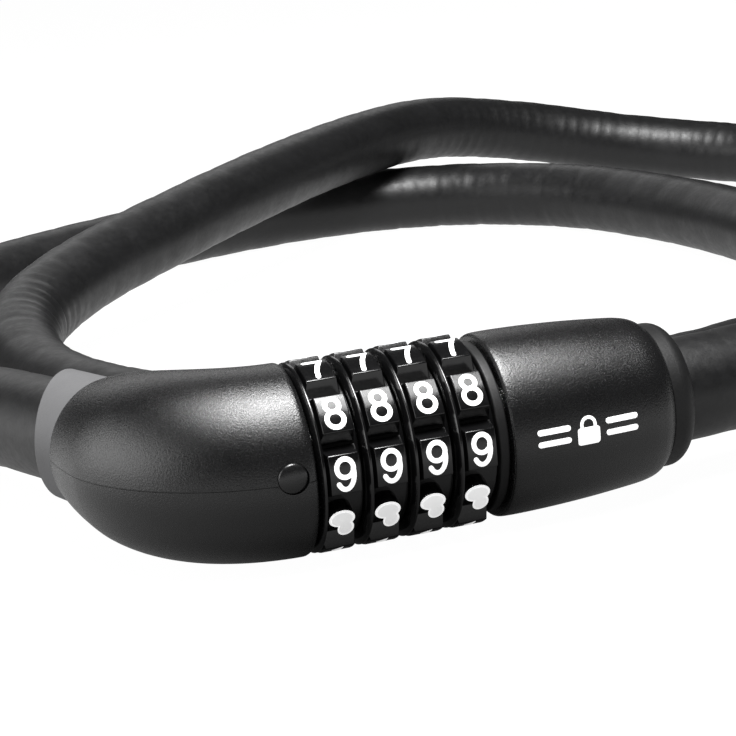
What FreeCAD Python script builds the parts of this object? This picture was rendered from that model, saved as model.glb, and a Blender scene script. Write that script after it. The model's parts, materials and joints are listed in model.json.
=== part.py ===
import FreeCAD, Part
import math
import os

from FreeCAD import Matrix, Rotation, Vector

# Cable lock with four number dials, lying on a table with its cable in two loose turns.
# Millimetres. +X runs along the barrel from the elbow to the plug, -Y is the front, +Z is up.
# Everything is drawn about the middle of the dial pack, and moved at the end so that the
# origin is under the middle of the lock body, on the table.

# ---- driving dimensions -------------------------------------------------------------------
BARREL_R = 13.6              # elbow housing at the dials: the lock's largest radius
AXIS_Z = BARREL_R            # the barrel lies on the table
FIT = 0.1                    # between fixed pieces
RUNNING = 0.1                # radial running clearance

DIAL_COUNT = 4
DIAL_PITCH = 6.5
DIAL_GAP = 0.2               # between neighbouring dials
DIAL_DIGITS = 10
DIAL_REST = 3.6              # degrees that the front row of numbers stands above straight front
DIAL_FACE_R = 13.3           # from the axis to a number's flat face
DIAL_NOTCH_DEPTH = 1.9       # of the finger notches between the numbers
DIAL_RIM_R = 13.4            # rim on the dial's left edge
DIAL_RIM_W = 1.1
DIAL_RIM_CHAMFER = 0.35
DIAL_SLOPE_W = 0.5           # sloping edge on the rim's left
DIAL_SLOPE_H = 0.8
FACE_MARGIN_LEFT = 0.25      # from the rim to a number's face
FACE_MARGIN_RIGHT = 0.75     # from a number's face to the dial's right side
FACE_H = 5.4                 # number face round the dial
FACE_SLOPE = 15.0            # degrees that a number block's sides lean
BOSS_BELOW = 28.85           # degrees below straight front, of the mark for nought
BOSS_LOBES = ((-0.45, 1.0, 1.82, 1.45), (0.2, -0.9, 1.15, 1.5))  # each lobe's place, half width and half height

CORE_R = 5.5                 # slotted tube that the tumblers turn on
CORE_WALL = 2.1
CORE_TAIL = 10.0             # held in the elbow casting
CORE_NOSE = 3.4              # stands into the plug
TOOTH_SLOT_W = 2.6

BOLT_FIT = 0.2               # round the bolt, in the core
BOLT_TOOTH_W = 2.2
BOLT_TOOTH_L = 2.0
BOLT_TOOTH_H = 1.1           # that a tooth stands out of the core
BOLT_TOOTH_GAP = 0.5         # between a tooth and the web that stops it
BOLT_PIN_R = 1.2

TUMBLER_WALL = 1.7           # ring that turns with each dial
TUMBLER_FIT = 0.05
TUMBLER_SIDE = 0.1           # between a tumbler's side and the dial's
WEB_W = 1.6                  # tumbler's inner web
WEB_MARGIN = 0.25            # from the web to the tumbler's right side
TOOTH_CLEARANCE = 0.3        # round a tooth, in the tumbler
CLICK_NOTCH_R = 0.5
CLICK_NOTCH_DEPTH = 0.25

SPRING_T = 0.4               # click spring strip
SPRING_W = 3.0

ELBOW_BEND_R = 19.0
ELBOW_TURN = 68.0            # degrees
ELBOW_TAIL = 10.5            # straight stretch before the mouth
ELBOW_WALL = 2.0             # at the dials
ELBOW_LIP = 1.0              # at the mouth
ELBOW_END_PLATE = 2.4
ELBOW_EDGE = 0.8             # rounded edge at the dials
ELBOW_TAPER = 2.1            # how late the housing eases in towards its mouth
CASTING_WALL = 1.2           # of the elbow casting, round the ferrule
PARTING_Z = 0.65             # the two elbow shells meet this far above the axis
PARTING_GAP = 0.04
PIN_R = 2.1                  # cross pin on the elbow's parting line
PIN_FROM_FACE = 3.35
PIN_Z = 1.4                  # above the axis, so that the parting line passes low through the pin
PIN_PROUD = 0.1

CABLE_R = 7.7                # over the sheath
SHEATH_WALL = 1.8
SLEEVE_CLEARANCE = 0.5       # between the armour sleeves and the sheath
SLEEVE_WALL = 1.9
SLEEVE_LEN = 9.2
SLEEVE_PITCH = 10.4
ROPE_R = 2.7                 # steel rope in the middle
FERRULE_SEAT = 0.7           # of the sheath's end that butts against the ferrule
FERRULE_LEN = 9.0
CABLE_FIT = 0.15             # round the cable, in the collars
CABLE_BEND = 0.45            # share of the shorter run that an arc takes
CABLE_LEAD = 16.5            # straight stretch at the plug
ELBOW_LEAD = 34.0            # straight stretch at the elbow
CROSSING_GAP = 0.4           # where the cable lies on itself

COLLAR_LEN = 12.0            # of the elbow's grey sleeve, along its middle
COLLAR_SLANT = 36.0          # degrees that its outer end is cut off slanting
COLLAR_WALL = 1.85           # at the elbow
COLLAR_END_WALL = 1.45
COLLAR_STUB = 3.0
STUB_WALL = 1.15             # collar's stub inside the elbow

RETAINER_W = 1.5             # black ring between the last dial and the plug
RETAINER_R = 12.2
CLIP_W = 0.8
CLIP_HEIGHT = 1.7            # that the clip stands out of the core
CLIP_GROOVE = 0.5
WASHER_T = 0.6
WASHER_MARGIN = 0.2          # that a tumbler stands out past the washer

PLUG_GAP = 0.3               # between the retainer and the plug
PLUG_LEN = 25.4
PLUG_FACE_R = 12.9
PLUG_MAX_R = 13.3
PLUG_NECK_R = 12.3
PLUG_END_WALL = 1.4
PLUG_FRONT_WALL = 3.4
END_COLLAR_WALL = 2.75
END_COLLAR_LEN = 4.1
END_COLLAR_ROUND = 2.4
END_COLLAR_STUB = 3.0
END_STUB_WALL = 1.45         # collar's stub inside the plug

# Places that follow from them.
PACK_HALF = DIAL_COUNT * DIAL_PITCH / 2
DIAL_W = DIAL_PITCH - DIAL_GAP
DIAL_FLOOR_R = DIAL_FACE_R - DIAL_NOTCH_DEPTH
FACE_W = DIAL_W - DIAL_RIM_W - FACE_MARGIN_LEFT - FACE_MARGIN_RIGHT
CORE_BORE_R = CORE_R - CORE_WALL
BOLT_R = CORE_BORE_R - BOLT_FIT
BOLT_TOOTH_R = CORE_R + BOLT_TOOTH_H
TUMBLER_BORE_R = BOLT_TOOTH_R + TOOTH_CLEARANCE
TUMBLER_R = TUMBLER_BORE_R + TUMBLER_WALL
TUMBLER_HALF = DIAL_W / 2 - TUMBLER_SIDE
WEB_OFFSET = TUMBLER_HALF - WEB_MARGIN - WEB_W / 2
WASHER_R = TUMBLER_R - WASHER_MARGIN
SLEEVE_R = CABLE_R - SHEATH_WALL - SLEEVE_CLEARANCE
FERRULE_R = CABLE_R - SHEATH_WALL + FERRULE_SEAT
CABLE_BORE_R = CABLE_R + CABLE_FIT
COLLAR_STUB_R = CABLE_BORE_R + STUB_WALL
ELBOW_MOUTH_R = COLLAR_STUB_R + FIT + ELBOW_LIP
CASTING_R = FERRULE_R + FIT + CASTING_WALL
CLIP_R = CORE_R + CLIP_HEIGHT
END_STUB_R = CABLE_BORE_R + END_STUB_WALL
PLUG_BORE_R = END_STUB_R + FIT
PLUG_END_R = PLUG_BORE_R + PLUG_END_WALL
END_COLLAR_R = CABLE_BORE_R + END_COLLAR_WALL
ELBOW_FACE_X = -(PACK_HALF + DIAL_GAP)
RETAINER_X = PACK_HALF + DIAL_GAP / 2
PLUG_X = RETAINER_X + RETAINER_W + PLUG_GAP
PLUG_END_X = PLUG_X + PLUG_LEN
CORE_END_X = PLUG_X + CORE_NOSE
CLIP_X = RETAINER_X + RETAINER_W + 0.05
PIN_X = ELBOW_FACE_X - PIN_FROM_FACE
BOLT_NOSE_X = PIN_X + PIN_R + 2 * BOLT_FIT
AXIS = Vector(0, 0, AXIS_Z)
X_DIR = Vector(1, 0, 0)
Y_DIR = Vector(0, 1, 0)
Z_DIR = Vector(0, 0, 1)


def on_axis(x, y=0.0, z=0.0):
    """Return a point given from the dial pack's middle, with z from the barrel's axis."""
    return AXIS + Vector(x, y, z)


def rod(r, x0, x1):
    """Return a cylinder on the barrel's axis."""
    return Part.makeCylinder(r, x1 - x0, on_axis(x0), X_DIR)


def ring(r_out, r_in, x0, x1):
    """Return a tube on the barrel's axis."""
    return rod(r_out, x0, x1).cut(rod(r_in, x0 - 1, x1 + 1))


def lathe(profile):
    """Return the solid that a closed list of (x, radius) points makes about the barrel's axis."""
    points = [on_axis(x, 0, r) for x, r in profile]
    outline = Part.makePolygon(points + points[:1])
    return Part.Face(outline).revolve(AXIS, X_DIR, 360)


def box(x0, x1, y0, y1, z0, z1):
    """Return a box, with z counted from the barrel's axis."""
    return Part.makeBox(x1 - x0, y1 - y0, z1 - z0, on_axis(x0, y0, z0))


def turned(shape, degrees):
    """Return a copy turned about the barrel's axis."""
    copy = shape.copy()
    copy.rotate(AXIS, X_DIR, degrees)
    return copy


def one(shapes):
    """Return shapes joined into one solid."""
    joined = shapes[0].fuse(shapes[1:]) if len(shapes) > 1 else shapes[0]
    return joined.removeSplitter()


# ---- the elbow's middle line --------------------------------------------------------------
def elbow_point(along):
    """Return the place and direction on the elbow's middle line, counted from its dial face."""
    bend = math.radians(ELBOW_TURN)
    arc = ELBOW_BEND_R * bend
    turn = min(max(along / ELBOW_BEND_R, 0.0), bend)
    place = on_axis(ELBOW_FACE_X - ELBOW_BEND_R * math.sin(turn), ELBOW_BEND_R * (1 - math.cos(turn)))
    direction = Vector(-math.cos(turn), math.sin(turn), 0)
    if along > arc:
        place += direction * (along - arc)
    return place, direction


ELBOW_LENGTH = ELBOW_BEND_R * math.radians(ELBOW_TURN) + ELBOW_TAIL
MOUTH, MOUTH_DIR = elbow_point(ELBOW_LENGTH)


def elbow_radius(share):
    """Return the housing's radius at a share of the elbow's length: full at the dials, then easing in."""
    ease = max(share - 0.12, 0.0) / 0.88
    return BARREL_R + (ELBOW_MOUTH_R - BARREL_R) * ease ** ELBOW_TAPER


def elbow_loft(start, inset_start, inset_end):
    """Return the elbow's tapered body from a distance along it to the mouth, inset by two walls."""
    steps = 9
    rings = []
    for i in range(steps):
        along = start + (ELBOW_LENGTH - start) * i / (steps - 1)
        share = along / ELBOW_LENGTH
        place, direction = elbow_point(along)
        radius = elbow_radius(share) - inset_start - (inset_end - inset_start) * share
        rings.append(Part.Wire([Part.makeCircle(radius, place, direction)]))
    return Part.makeLoft(rings, True, False)


def mouth_rod(r, back, front):
    """Return a cylinder on the mouth's line, from inside the elbow (back) to outside (front)."""
    return Part.makeCylinder(r, back + front, MOUTH - MOUTH_DIR * back, MOUTH_DIR)


def elbow_pipe(r, start, end):
    """Return a round bar of one radius along the elbow's middle line."""
    arc = ELBOW_BEND_R * math.radians(ELBOW_TURN)
    a, direction = elbow_point(start)
    middle = elbow_point((start + arc) / 2)[0]
    b = elbow_point(arc)[0]
    edges = [Part.Arc(a, middle, b).toShape()]
    if end > arc:
        edges.append(Part.LineSegment(b, elbow_point(end)[0]).toShape())
    section = Part.Wire([Part.makeCircle(r, a, direction)])
    return Part.Wire(edges).makePipeShell([section], True, False)


# ---- elbow side ---------------------------------------------------------------------------
def elbow_shells():
    """Return the upper and lower half of the elbow housing."""
    casting_gap = CASTING_R + FIT
    skin = elbow_loft(0.0, 0.0, 0.0)
    dial_edge = max(skin.Edges, key=lambda e: (e.BoundBox.Center.x, e.Length))
    skin = skin.makeFillet(ELBOW_EDGE, [dial_edge])
    skin = skin.cut(elbow_loft(ELBOW_END_PLATE, ELBOW_WALL, ELBOW_LIP))
    skin = skin.cut(rod(CORE_R + FIT, ELBOW_FACE_X - 2 * ELBOW_END_PLATE, ELBOW_FACE_X + 1))
    skin = skin.cut(rod(WASHER_R + FIT, ELBOW_FACE_X - WASHER_T - 0.2, ELBOW_FACE_X + 1))
    skin = skin.cut(pin_rod(PIN_R + FIT, BARREL_R + 1))
    big = 4 * BARREL_R
    upper = skin.common(box(-2 * big, big, -big, big, PARTING_Z + PARTING_GAP / 2, big))
    lower = skin.common(box(-2 * big, big, -big, big, -big, PARTING_Z - PARTING_GAP / 2))
    return upper, lower


def pin_rod(r, half):
    """Return a cylinder across the elbow where its pin goes."""
    return Part.makeCylinder(r, 2 * half, on_axis(PIN_X, -half, PIN_Z), Y_DIR)


def elbow_pin():
    """Return the pin that holds shells, casting and core together, with rounded ends."""
    half = BARREL_R + PIN_PROUD
    pin = pin_rod(PIN_R, half)
    return pin.makeFillet(0.3, [e for e in pin.Edges if isinstance(e.Curve, Part.Circle)])


def elbow_casting():
    """Return the cast metal elbow inside the shells: it holds the core at one end, the ferrule at the other."""
    start = ELBOW_END_PLATE + 0.3
    body = elbow_pipe(CASTING_R, start, ELBOW_LENGTH - COLLAR_STUB - 0.3)
    body = body.cut(rod(CORE_R + FIT, ELBOW_FACE_X - CORE_TAIL - 0.3, ELBOW_FACE_X + 1))
    body = body.cut(mouth_rod(FERRULE_R + FIT, FERRULE_LEN + 0.3, 1))
    return body.cut(pin_rod(PIN_R + FIT, BARREL_R))


def elbow_collar():
    """Return the grey sleeve that the cable leaves the elbow through, its outer end cut off slanting."""
    start_r = CABLE_BORE_R + COLLAR_WALL
    end_r = CABLE_BORE_R + COLLAR_END_WALL
    stub = mouth_rod(COLLAR_STUB_R, COLLAR_STUB, 0.5)
    longest = COLLAR_LEN + end_r * math.tan(math.radians(COLLAR_SLANT)) + 1
    sleeve = Part.makeCone(start_r, end_r, longest, MOUTH + MOUTH_DIR * FIT, MOUTH_DIR)
    facing = Rotation(Z_DIR, COLLAR_SLANT).multVec(MOUTH_DIR)
    sleeve = sleeve.cut(Part.makeCylinder(4 * start_r, 4 * start_r, MOUTH + MOUTH_DIR * COLLAR_LEN, facing))
    rim = [e for e in sleeve.Edges if isinstance(e.Curve, Part.Ellipse)]
    sleeve = sleeve.makeFillet(0.3 * COLLAR_END_WALL, rim)
    return sleeve.fuse(stub).cut(mouth_rod(CABLE_BORE_R, COLLAR_STUB + 1, longest + 2))


def ferrule(place, direction):
    """Return a crimped ferrule that ends at place, with the rope's hole through it."""
    body = Part.makeCylinder(FERRULE_R, FERRULE_LEN, place - direction * FERRULE_LEN, direction)
    for i in range(3):
        at = place - direction * (FERRULE_LEN * (i + 1) / 4 + 0.4)
        groove = Part.makeCylinder(FERRULE_R + 1, 0.8, at, direction)
        body = body.cut(groove.cut(Part.makeCylinder(FERRULE_R - 0.4, 0.8, at, direction)))
    return body.cut(Part.makeCylinder(ROPE_R + FIT, FERRULE_LEN + 2, place - direction * (FERRULE_LEN + 1), direction))


def core_tube():
    """Return the slotted tube that the tumblers turn on and the bolt slides in."""
    start = ELBOW_FACE_X - CORE_TAIL
    body = ring(CORE_R, CORE_BORE_R, start, CORE_END_X)
    slot_start = ELBOW_FACE_X
    body = body.cut(box(slot_start, CORE_END_X + 1, -TOOTH_SLOT_W / 2, TOOTH_SLOT_W / 2, 0, CORE_R + 1))
    spring_z = -(CORE_R - 2 * SPRING_T - 0.3)
    body = body.cut(box(-PACK_HALF, PACK_HALF, -SPRING_W / 2 - FIT, SPRING_W / 2 + FIT, -CORE_R - 1, spring_z))
    groove = ring(CORE_R + 1, CORE_R - CLIP_GROOVE, CLIP_X - 0.05, CLIP_X + CLIP_W + 0.05)
    return body.cut(groove).cut(pin_rod(PIN_R + FIT, CORE_R + 1))


def click_spring():
    """Return the spring strip under the tumblers, with one bump for each of them."""
    top = -(CORE_R - 2 * SPRING_T - 0.3) - 0.05
    strip = box(-PACK_HALF + 0.2, PACK_HALF - 0.2, -SPRING_W / 2, SPRING_W / 2, top - SPRING_T, top)
    bumps = []
    for x in dial_middles():
        at = on_axis(x + WEB_OFFSET - WEB_W / 2, 0, top - SPRING_T)
        bump = Part.makeCylinder(CLICK_NOTCH_R - 0.1, WEB_W, at, X_DIR)
        bumps.append(bump)
    return one([strip] + bumps)


def thrust_washer():
    """Return the washer between the elbow and the first dial."""
    x0 = ELBOW_FACE_X - WASHER_T - 0.1
    return ring(WASHER_R, CORE_R + FIT, x0, x0 + WASHER_T)


def dial_retainer():
    """Return the black ring that keeps the dials on the core."""
    x0 = RETAINER_X
    profile = [(x0, CORE_R + FIT), (x0 + RETAINER_W, CORE_R + FIT), (x0 + RETAINER_W, RETAINER_R - 0.3),
               (x0 + RETAINER_W - 0.3, RETAINER_R), (x0 + 0.3, RETAINER_R), (x0, RETAINER_R - 0.3)]
    key = box(x0, x0 + RETAINER_W, -TOOTH_SLOT_W / 2, TOOTH_SLOT_W / 2, 0, BOLT_TOOTH_R + 0.3)
    return lathe(profile).cut(key)


def retaining_clip():
    """Return the open spring clip that holds the retainer, in the core's groove."""
    clip = ring(CLIP_R, CORE_R - CLIP_GROOVE + FIT, CLIP_X, CLIP_X + CLIP_W)
    return clip.cut(box(CLIP_X - 1, CLIP_X + 2, -TOOTH_SLOT_W, TOOTH_SLOT_W, 0, CLIP_R + 1))


# ---- dials --------------------------------------------------------------------------------
def dial_middles():
    """Return the dials' middles along the axis, from the elbow."""
    first = -PACK_HALF + DIAL_PITCH / 2
    return [first + DIAL_PITCH * i for i in range(DIAL_COUNT)]


def number_block(x):
    """Return one raised number block at the front of a dial, its sides leaning in."""
    lean = math.tan(math.radians(FACE_SLOPE)) * (DIAL_FACE_R - DIAL_FLOOR_R + 0.5)
    base_r = DIAL_FLOOR_R - 0.5
    right = x + DIAL_W / 2 - FACE_MARGIN_RIGHT
    left = right - FACE_W
    base = rectangle(left - lean, right + lean / 2, FACE_H / 2 + lean, base_r)
    top = rectangle(left, right, FACE_H / 2, DIAL_FACE_R)
    return Part.makeLoft([base, top], True, True)


def rectangle(x0, x1, half_height, r):
    """Return a closed outline at distance r in front of the axis."""
    corners = [(x0, -half_height), (x1, -half_height), (x1, half_height), (x0, half_height)]
    points = [on_axis(x, -r, z) for x, z in corners]
    return Part.makePolygon(points + points[:1])


def dial(x):
    """Return a number dial: a ring with a sloping rim on its left and ten number blocks."""
    x0 = x - DIAL_W / 2
    x1 = x + DIAL_W / 2
    c = DIAL_RIM_CHAMFER
    bore = TUMBLER_R + TUMBLER_FIT
    profile = [(x0, bore), (x1, bore), (x1, DIAL_FLOOR_R), (x0 + DIAL_RIM_W + c, DIAL_FLOOR_R),
               (x0 + DIAL_RIM_W, DIAL_RIM_R - c), (x0 + DIAL_RIM_W - c, DIAL_RIM_R),
               (x0 + DIAL_SLOPE_W, DIAL_RIM_R), (x0, DIAL_RIM_R - DIAL_SLOPE_H)]
    block = number_block(x)
    blocks = [turned(block, 360.0 / DIAL_DIGITS * i - DIAL_REST) for i in range(DIAL_DIGITS - 1)]
    return one([lathe(profile)] + blocks + [marker_boss(x)])


def marker_boss(x):
    """Return the raised two-lobed mark that stands for nought, under the front row of numbers."""
    base = DIAL_FLOOR_R - 0.5
    lobes = []
    for side, up, wide, tall in BOSS_LOBES:
        flat = Part.Ellipse(Vector(0, 0, 0), max(wide, tall), min(wide, tall)).toShape()
        lobe = Part.Face(Part.Wire([flat])).extrude(Vector(0, 0, DIAL_FACE_R - base))
        if tall > wide:
            lobe.rotate(Vector(0, 0, 0), Z_DIR, 90)
        lobe.rotate(Vector(0, 0, 0), X_DIR, 90)
        lobe.translate(on_axis(x + side, -base, up))
        lobes.append(lobe)
    return turned(lobes[0].fuse(lobes[1]), BOSS_BELOW)


def code_ring(x):
    """Return a tumbler: a ring whose inner web has one gap for the bolt's tooth and ten click notches."""
    body = ring(TUMBLER_R, TUMBLER_BORE_R, x - TUMBLER_HALF, x + TUMBLER_HALF)
    web_x = x + WEB_OFFSET
    web_r = CORE_R + RUNNING
    web = ring(TUMBLER_BORE_R + TUMBLER_WALL / 2, web_r, web_x - WEB_W / 2, web_x + WEB_W / 2)
    web = web.cut(box(web_x - WEB_W, web_x + WEB_W, -TOOTH_SLOT_W / 2, TOOTH_SLOT_W / 2, 0, TUMBLER_BORE_R))
    start = on_axis(web_x - WEB_W, 0, -(web_r + CLICK_NOTCH_DEPTH - CLICK_NOTCH_R))
    notch = Part.makeCylinder(CLICK_NOTCH_R, 2 * WEB_W, start, X_DIR)
    for i in range(DIAL_DIGITS):
        if i != DIAL_DIGITS // 2:
            web = web.cut(turned(notch, 360.0 / DIAL_DIGITS * i))
    return body.fuse(web).removeSplitter()


# ---- plug side ----------------------------------------------------------------------------
def plug_shell():
    """Return the barrel-shaped plug housing, open at both ends."""
    x0, x1 = PLUG_X, PLUG_END_X
    outer = [(x0, PLUG_FACE_R), (x0 + 1.0, PLUG_MAX_R), (x0 + 7.0, PLUG_MAX_R - 0.05), (x0 + 14.0, PLUG_MAX_R - 0.4),
             (x1 - 4.5, PLUG_NECK_R), (x1 - 2.2, PLUG_NECK_R - 0.35), (x1 - 0.9, PLUG_NECK_R - 0.8), (x1, PLUG_END_R)]
    curve = Part.BSplineCurve()
    curve.interpolate([on_axis(x, 0, r) for x, r in outer])
    inner = [(x1, PLUG_BORE_R), (x0 + PLUG_FRONT_WALL, PLUG_BORE_R), (x0 + PLUG_FRONT_WALL, CLIP_R + 0.5),
             (x0, CLIP_R + 0.5)]
    points = [on_axis(x, 0, r) for x, r in [outer[-1]] + inner + [outer[0]]]
    edges = [curve.toShape()] + [Part.LineSegment(a, b).toShape() for a, b in zip(points, points[1:])]
    return Part.Face(Part.Wire(edges)).revolve(AXIS, X_DIR, 360)


def plug_casting():
    """Return the cast metal insert that joins the bolt to the cable's ferrule."""
    x0 = PLUG_X + PLUG_FRONT_WALL + 0.2
    x1 = PLUG_END_X - END_COLLAR_STUB - 0.3
    body = rod(PLUG_BORE_R - FIT, x0, x1)
    body = body.cut(rod(BOLT_R + FIT, x0 - 1, bolt_tail_x() + 0.2))
    body = body.cut(rod(CORE_R + 4 * FIT, x0 - 1, CORE_END_X + 4 * FIT))
    body = body.cut(rod(FERRULE_R + FIT, ferrule_x() - FERRULE_LEN - 0.2, x1 + 1))
    body = body.cut(rod(ROPE_R + FIT, bolt_tail_x(), x1))
    return body.cut(bolt_pin_rod(BOLT_PIN_R + FIT))


def ferrule_x():
    """Return where the plug's ferrule meets the end of the sheath."""
    return PLUG_END_X - END_COLLAR_STUB


def bolt_tail_x():
    """Return the end of the bolt inside the plug."""
    return ferrule_x() - FERRULE_LEN - 1.0


def bolt_pin_rod(r):
    """Return a cylinder across the plug where the bolt's pin goes."""
    half = PLUG_BORE_R - FIT
    middle = (PLUG_X + PLUG_FRONT_WALL + bolt_tail_x()) / 2 + 1.0
    return Part.makeCylinder(r, 2 * half, on_axis(middle, -half), Y_DIR)


def locking_bolt():
    """Return the bolt: a round bar with a rounded nose and one tooth for each tumbler."""
    bar = rod(BOLT_R, BOLT_NOSE_X, bolt_tail_x())
    bar = bar.makeFillet(1.0, [min(bar.Edges, key=lambda e: e.BoundBox.XMax)])
    teeth = []
    for x in dial_middles():
        x1 = x + WEB_OFFSET - WEB_W / 2 - BOLT_TOOTH_GAP
        teeth.append(box(x1 - BOLT_TOOTH_L, x1, -BOLT_TOOTH_W / 2, BOLT_TOOTH_W / 2, BOLT_R / 2, BOLT_TOOTH_R))
    return one([bar] + teeth).cut(bolt_pin_rod(BOLT_PIN_R + FIT))


def bolt_pin():
    """Return the pin that fixes the bolt in the plug's casting."""
    return bolt_pin_rod(BOLT_PIN_R)


def end_collar():
    """Return the stepped collar that the cable leaves the plug through."""
    x1 = PLUG_END_X + END_COLLAR_LEN
    sleeve = rod(END_COLLAR_R, PLUG_END_X + FIT, x1)
    rim = [e for e in sleeve.Edges if isinstance(e.Curve, Part.Circle) and e.BoundBox.XMin > x1 - 0.01]
    sleeve = sleeve.makeFillet(END_COLLAR_ROUND, rim)
    stub = rod(END_STUB_R, PLUG_END_X - END_COLLAR_STUB, PLUG_END_X + 1)
    return sleeve.fuse(stub).cut(rod(CABLE_BORE_R, PLUG_END_X - END_COLLAR_STUB - 1, x1 + 1))


# ---- cable --------------------------------------------------------------------------------
def cable_route():
    """Return the cable's route from the elbow to the plug: round the back, behind the lock, and round again."""
    first = MOUTH
    out = MOUTH + MOUTH_DIR * ELBOW_LEAD
    last = on_axis(ferrule_x())
    into = on_axis(ferrule_x() + CABLE_LEAD)
    lie = CABLE_R
    over = 3 * CABLE_R + CROSSING_GAP
    free = [(-62, 89, lie), (-67, 125, lie), (-57, 160, lie), (-30, 188, lie), (6, 208, lie),
            (46, 221, lie), (84, 216, lie), (110, 192, lie), (122, 157, lie), (126, 118, lie), (121, 77, lie),
            (101, 41, lie), (67, 22.5, lie), (30, 21.5, lie), (-2, 31, lie), (-25, 54, lie), (-37, 84, 8.5),
            (-36, 112, 12), (-20, 135, 16), (3, 155, 19), (30, 179, 22), (58, 204, over), (88, 227.5, over),
            (117, 235, 18), (146, 228.5, 11), (170, 210, lie), (183, 182, lie), (186, 150, lie),
            (181, 112, lie), (166, 76, lie), (141, 45, lie), (114, 22.5, 10), (85, 9.5, AXIS_Z)]
    return [first, out] + [Vector(*p) for p in free] + [into, last]


def cable_path(route):
    """Return the edges of straight runs joined by tangent arcs through the route, and each arc's radius."""
    edges, radii = [], []
    start = route[0]
    for before, corner, after in zip(route, route[1:], route[2:]):
        run_in, run_out = corner - before, after - corner
        reach = CABLE_BEND * min(run_in.Length, run_out.Length)
        half_turn = run_in.getAngle(run_out) / 2
        radius = reach / math.tan(half_turn)
        a = corner - run_in.normalize() * reach
        b = corner + run_out.normalize() * reach
        inward = ((a + b) * 0.5 - corner).normalize()
        middle = corner + inward * (radius / math.cos(half_turn) - radius)
        edges.append(Part.LineSegment(start, a).toShape())
        edges.append(Part.Arc(a, middle, b).toShape())
        radii.append(radius)
        start = b
    edges.append(Part.LineSegment(start, route[-1]).toShape())
    return edges, radii


def swept(edges, radius, hole=0.0):
    """Return a round bar, or a tube, along the edges."""
    start = edges[0].Vertexes[0].Point
    direction = (edges[0].Vertexes[1].Point - start).normalize()
    path = Part.Wire(edges)
    outline = [Part.Wire([Part.makeCircle(radius, start, direction)])]
    bar = path.makePipeShell(outline, True, False)
    if hole:
        bore = [Part.Wire([Part.makeCircle(hole, start, direction)])]
        bar = bar.cut(path.makePipeShell(bore, True, False))
    return bar


def extended(edges, extra):
    """Return the edges with straight ends that reach further at both ends."""
    first, last = edges[0], edges[-1]
    a, b = first.Vertexes[0].Point, first.Vertexes[1].Point
    c, d = last.Vertexes[0].Point, last.Vertexes[1].Point
    head = Part.LineSegment(a + (a - b).normalize() * extra, b).toShape()
    tail = Part.LineSegment(c, d + (d - c).normalize() * extra).toShape()
    return [head] + edges[1:-1] + [tail]


def armour_sleeves(edges):
    """Return the steel sleeves threaded on the rope, one behind the other."""
    path = Part.Wire(edges)
    count = int((path.Length - SLEEVE_LEN) / SLEEVE_PITCH)
    margin = (path.Length - count * SLEEVE_PITCH) / 2
    sleeves = []
    edge_index, passed = 0, 0.0
    for i in range(count):
        along = margin + SLEEVE_PITCH * (i + 0.5)
        while along > passed + edges[edge_index].Length:
            passed += edges[edge_index].Length
            edge_index += 1
        edge = edges[edge_index]
        at = edge.getParameterByLength(along - passed)
        direction = edge.tangentAt(at)
        base = edge.valueAt(at) - direction * (SLEEVE_LEN / 2)
        sleeve = Part.makeCylinder(SLEEVE_R, SLEEVE_LEN, base, direction)
        sleeves.append(sleeve.cut(Part.makeCylinder((SLEEVE_R - SLEEVE_WALL), SLEEVE_LEN, base, direction)))
    return Part.makeCompound(sleeves)


# ---- the whole lock -----------------------------------------------------------------------
def body_nodes():
    """Return the lock body's pieces by name."""
    upper, lower = elbow_shells()
    nodes = {
        "elbow_shell_upper": upper,
        "elbow_shell_lower": lower,
        "elbow_casting": elbow_casting(),
        "elbow_pin": elbow_pin(),
        "elbow_collar": elbow_collar(),
        "elbow_ferrule": ferrule(MOUTH - MOUTH_DIR * 0.05, MOUTH_DIR),
        "core_tube": core_tube(),
        "click_spring": click_spring(),
        "thrust_washer": thrust_washer(),
        "dial_retainer": dial_retainer(),
        "retaining_clip": retaining_clip(),
        "plug_shell": plug_shell(),
        "plug_casting": plug_casting(),
        "plug_end_collar": end_collar(),
        "plug_ferrule": ferrule(on_axis(ferrule_x() - 0.05), X_DIR),
        "locking_bolt": locking_bolt(),
        "bolt_pin": bolt_pin(),
    }
    for i, x in enumerate(dial_middles(), 1):
        nodes["dial_%d" % i] = dial(x)
        nodes["code_ring_%d" % i] = code_ring(x)
    return nodes


def cable_nodes():
    """Return the cable's pieces by name, and print its length and bends."""
    edges, radii = cable_path(cable_route())
    length = sum(e.Length for e in edges)
    sheath = swept(edges, CABLE_R, CABLE_R - SHEATH_WALL)
    rope_edges = extended(edges, FERRULE_LEN)
    wall = math.pi * (CABLE_R ** 2 - (CABLE_R - SHEATH_WALL) ** 2)
    print("cable length %.1f, smallest radius %.1f" % (length, min(radii)))
    print("radii", " ".join("%.0f" % r for r in radii))
    print("sheath volume %.1f against %.1f" % (sheath.Volume, wall * length))
    return {"cable_sheath": sheath, "armour_sleeves": armour_sleeves(edges), "steel_rope": swept(rope_edges, ROPE_R)}


def main():
    """Build every piece, put the origin under the middle of the lock body, and write the files."""
    os.makedirs("parts", exist_ok=True)
    body = body_nodes()
    bounds = Part.makeCompound(list(body.values())).optimalBoundingBox(False)
    move = Vector(-bounds.Center.x, -bounds.Center.y, -bounds.ZMin)
    print("dial pack middle at x %.3f y %.3f z %.3f" % (move.x, move.y, AXIS_Z + move.z))
    for name, shape in {**body, **cable_nodes()}.items():
        shape.translate(move)
        if not shape.isValid() or not shape.Solids:
            print("CHECK", name, shape.isValid(), len(shape.Solids))
        print("%-18s solids %3d volume %9.1f" % (name, len(shape.Solids), shape.Volume))
        shape.exportStep("parts/%s.step" % name)


main()
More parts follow.
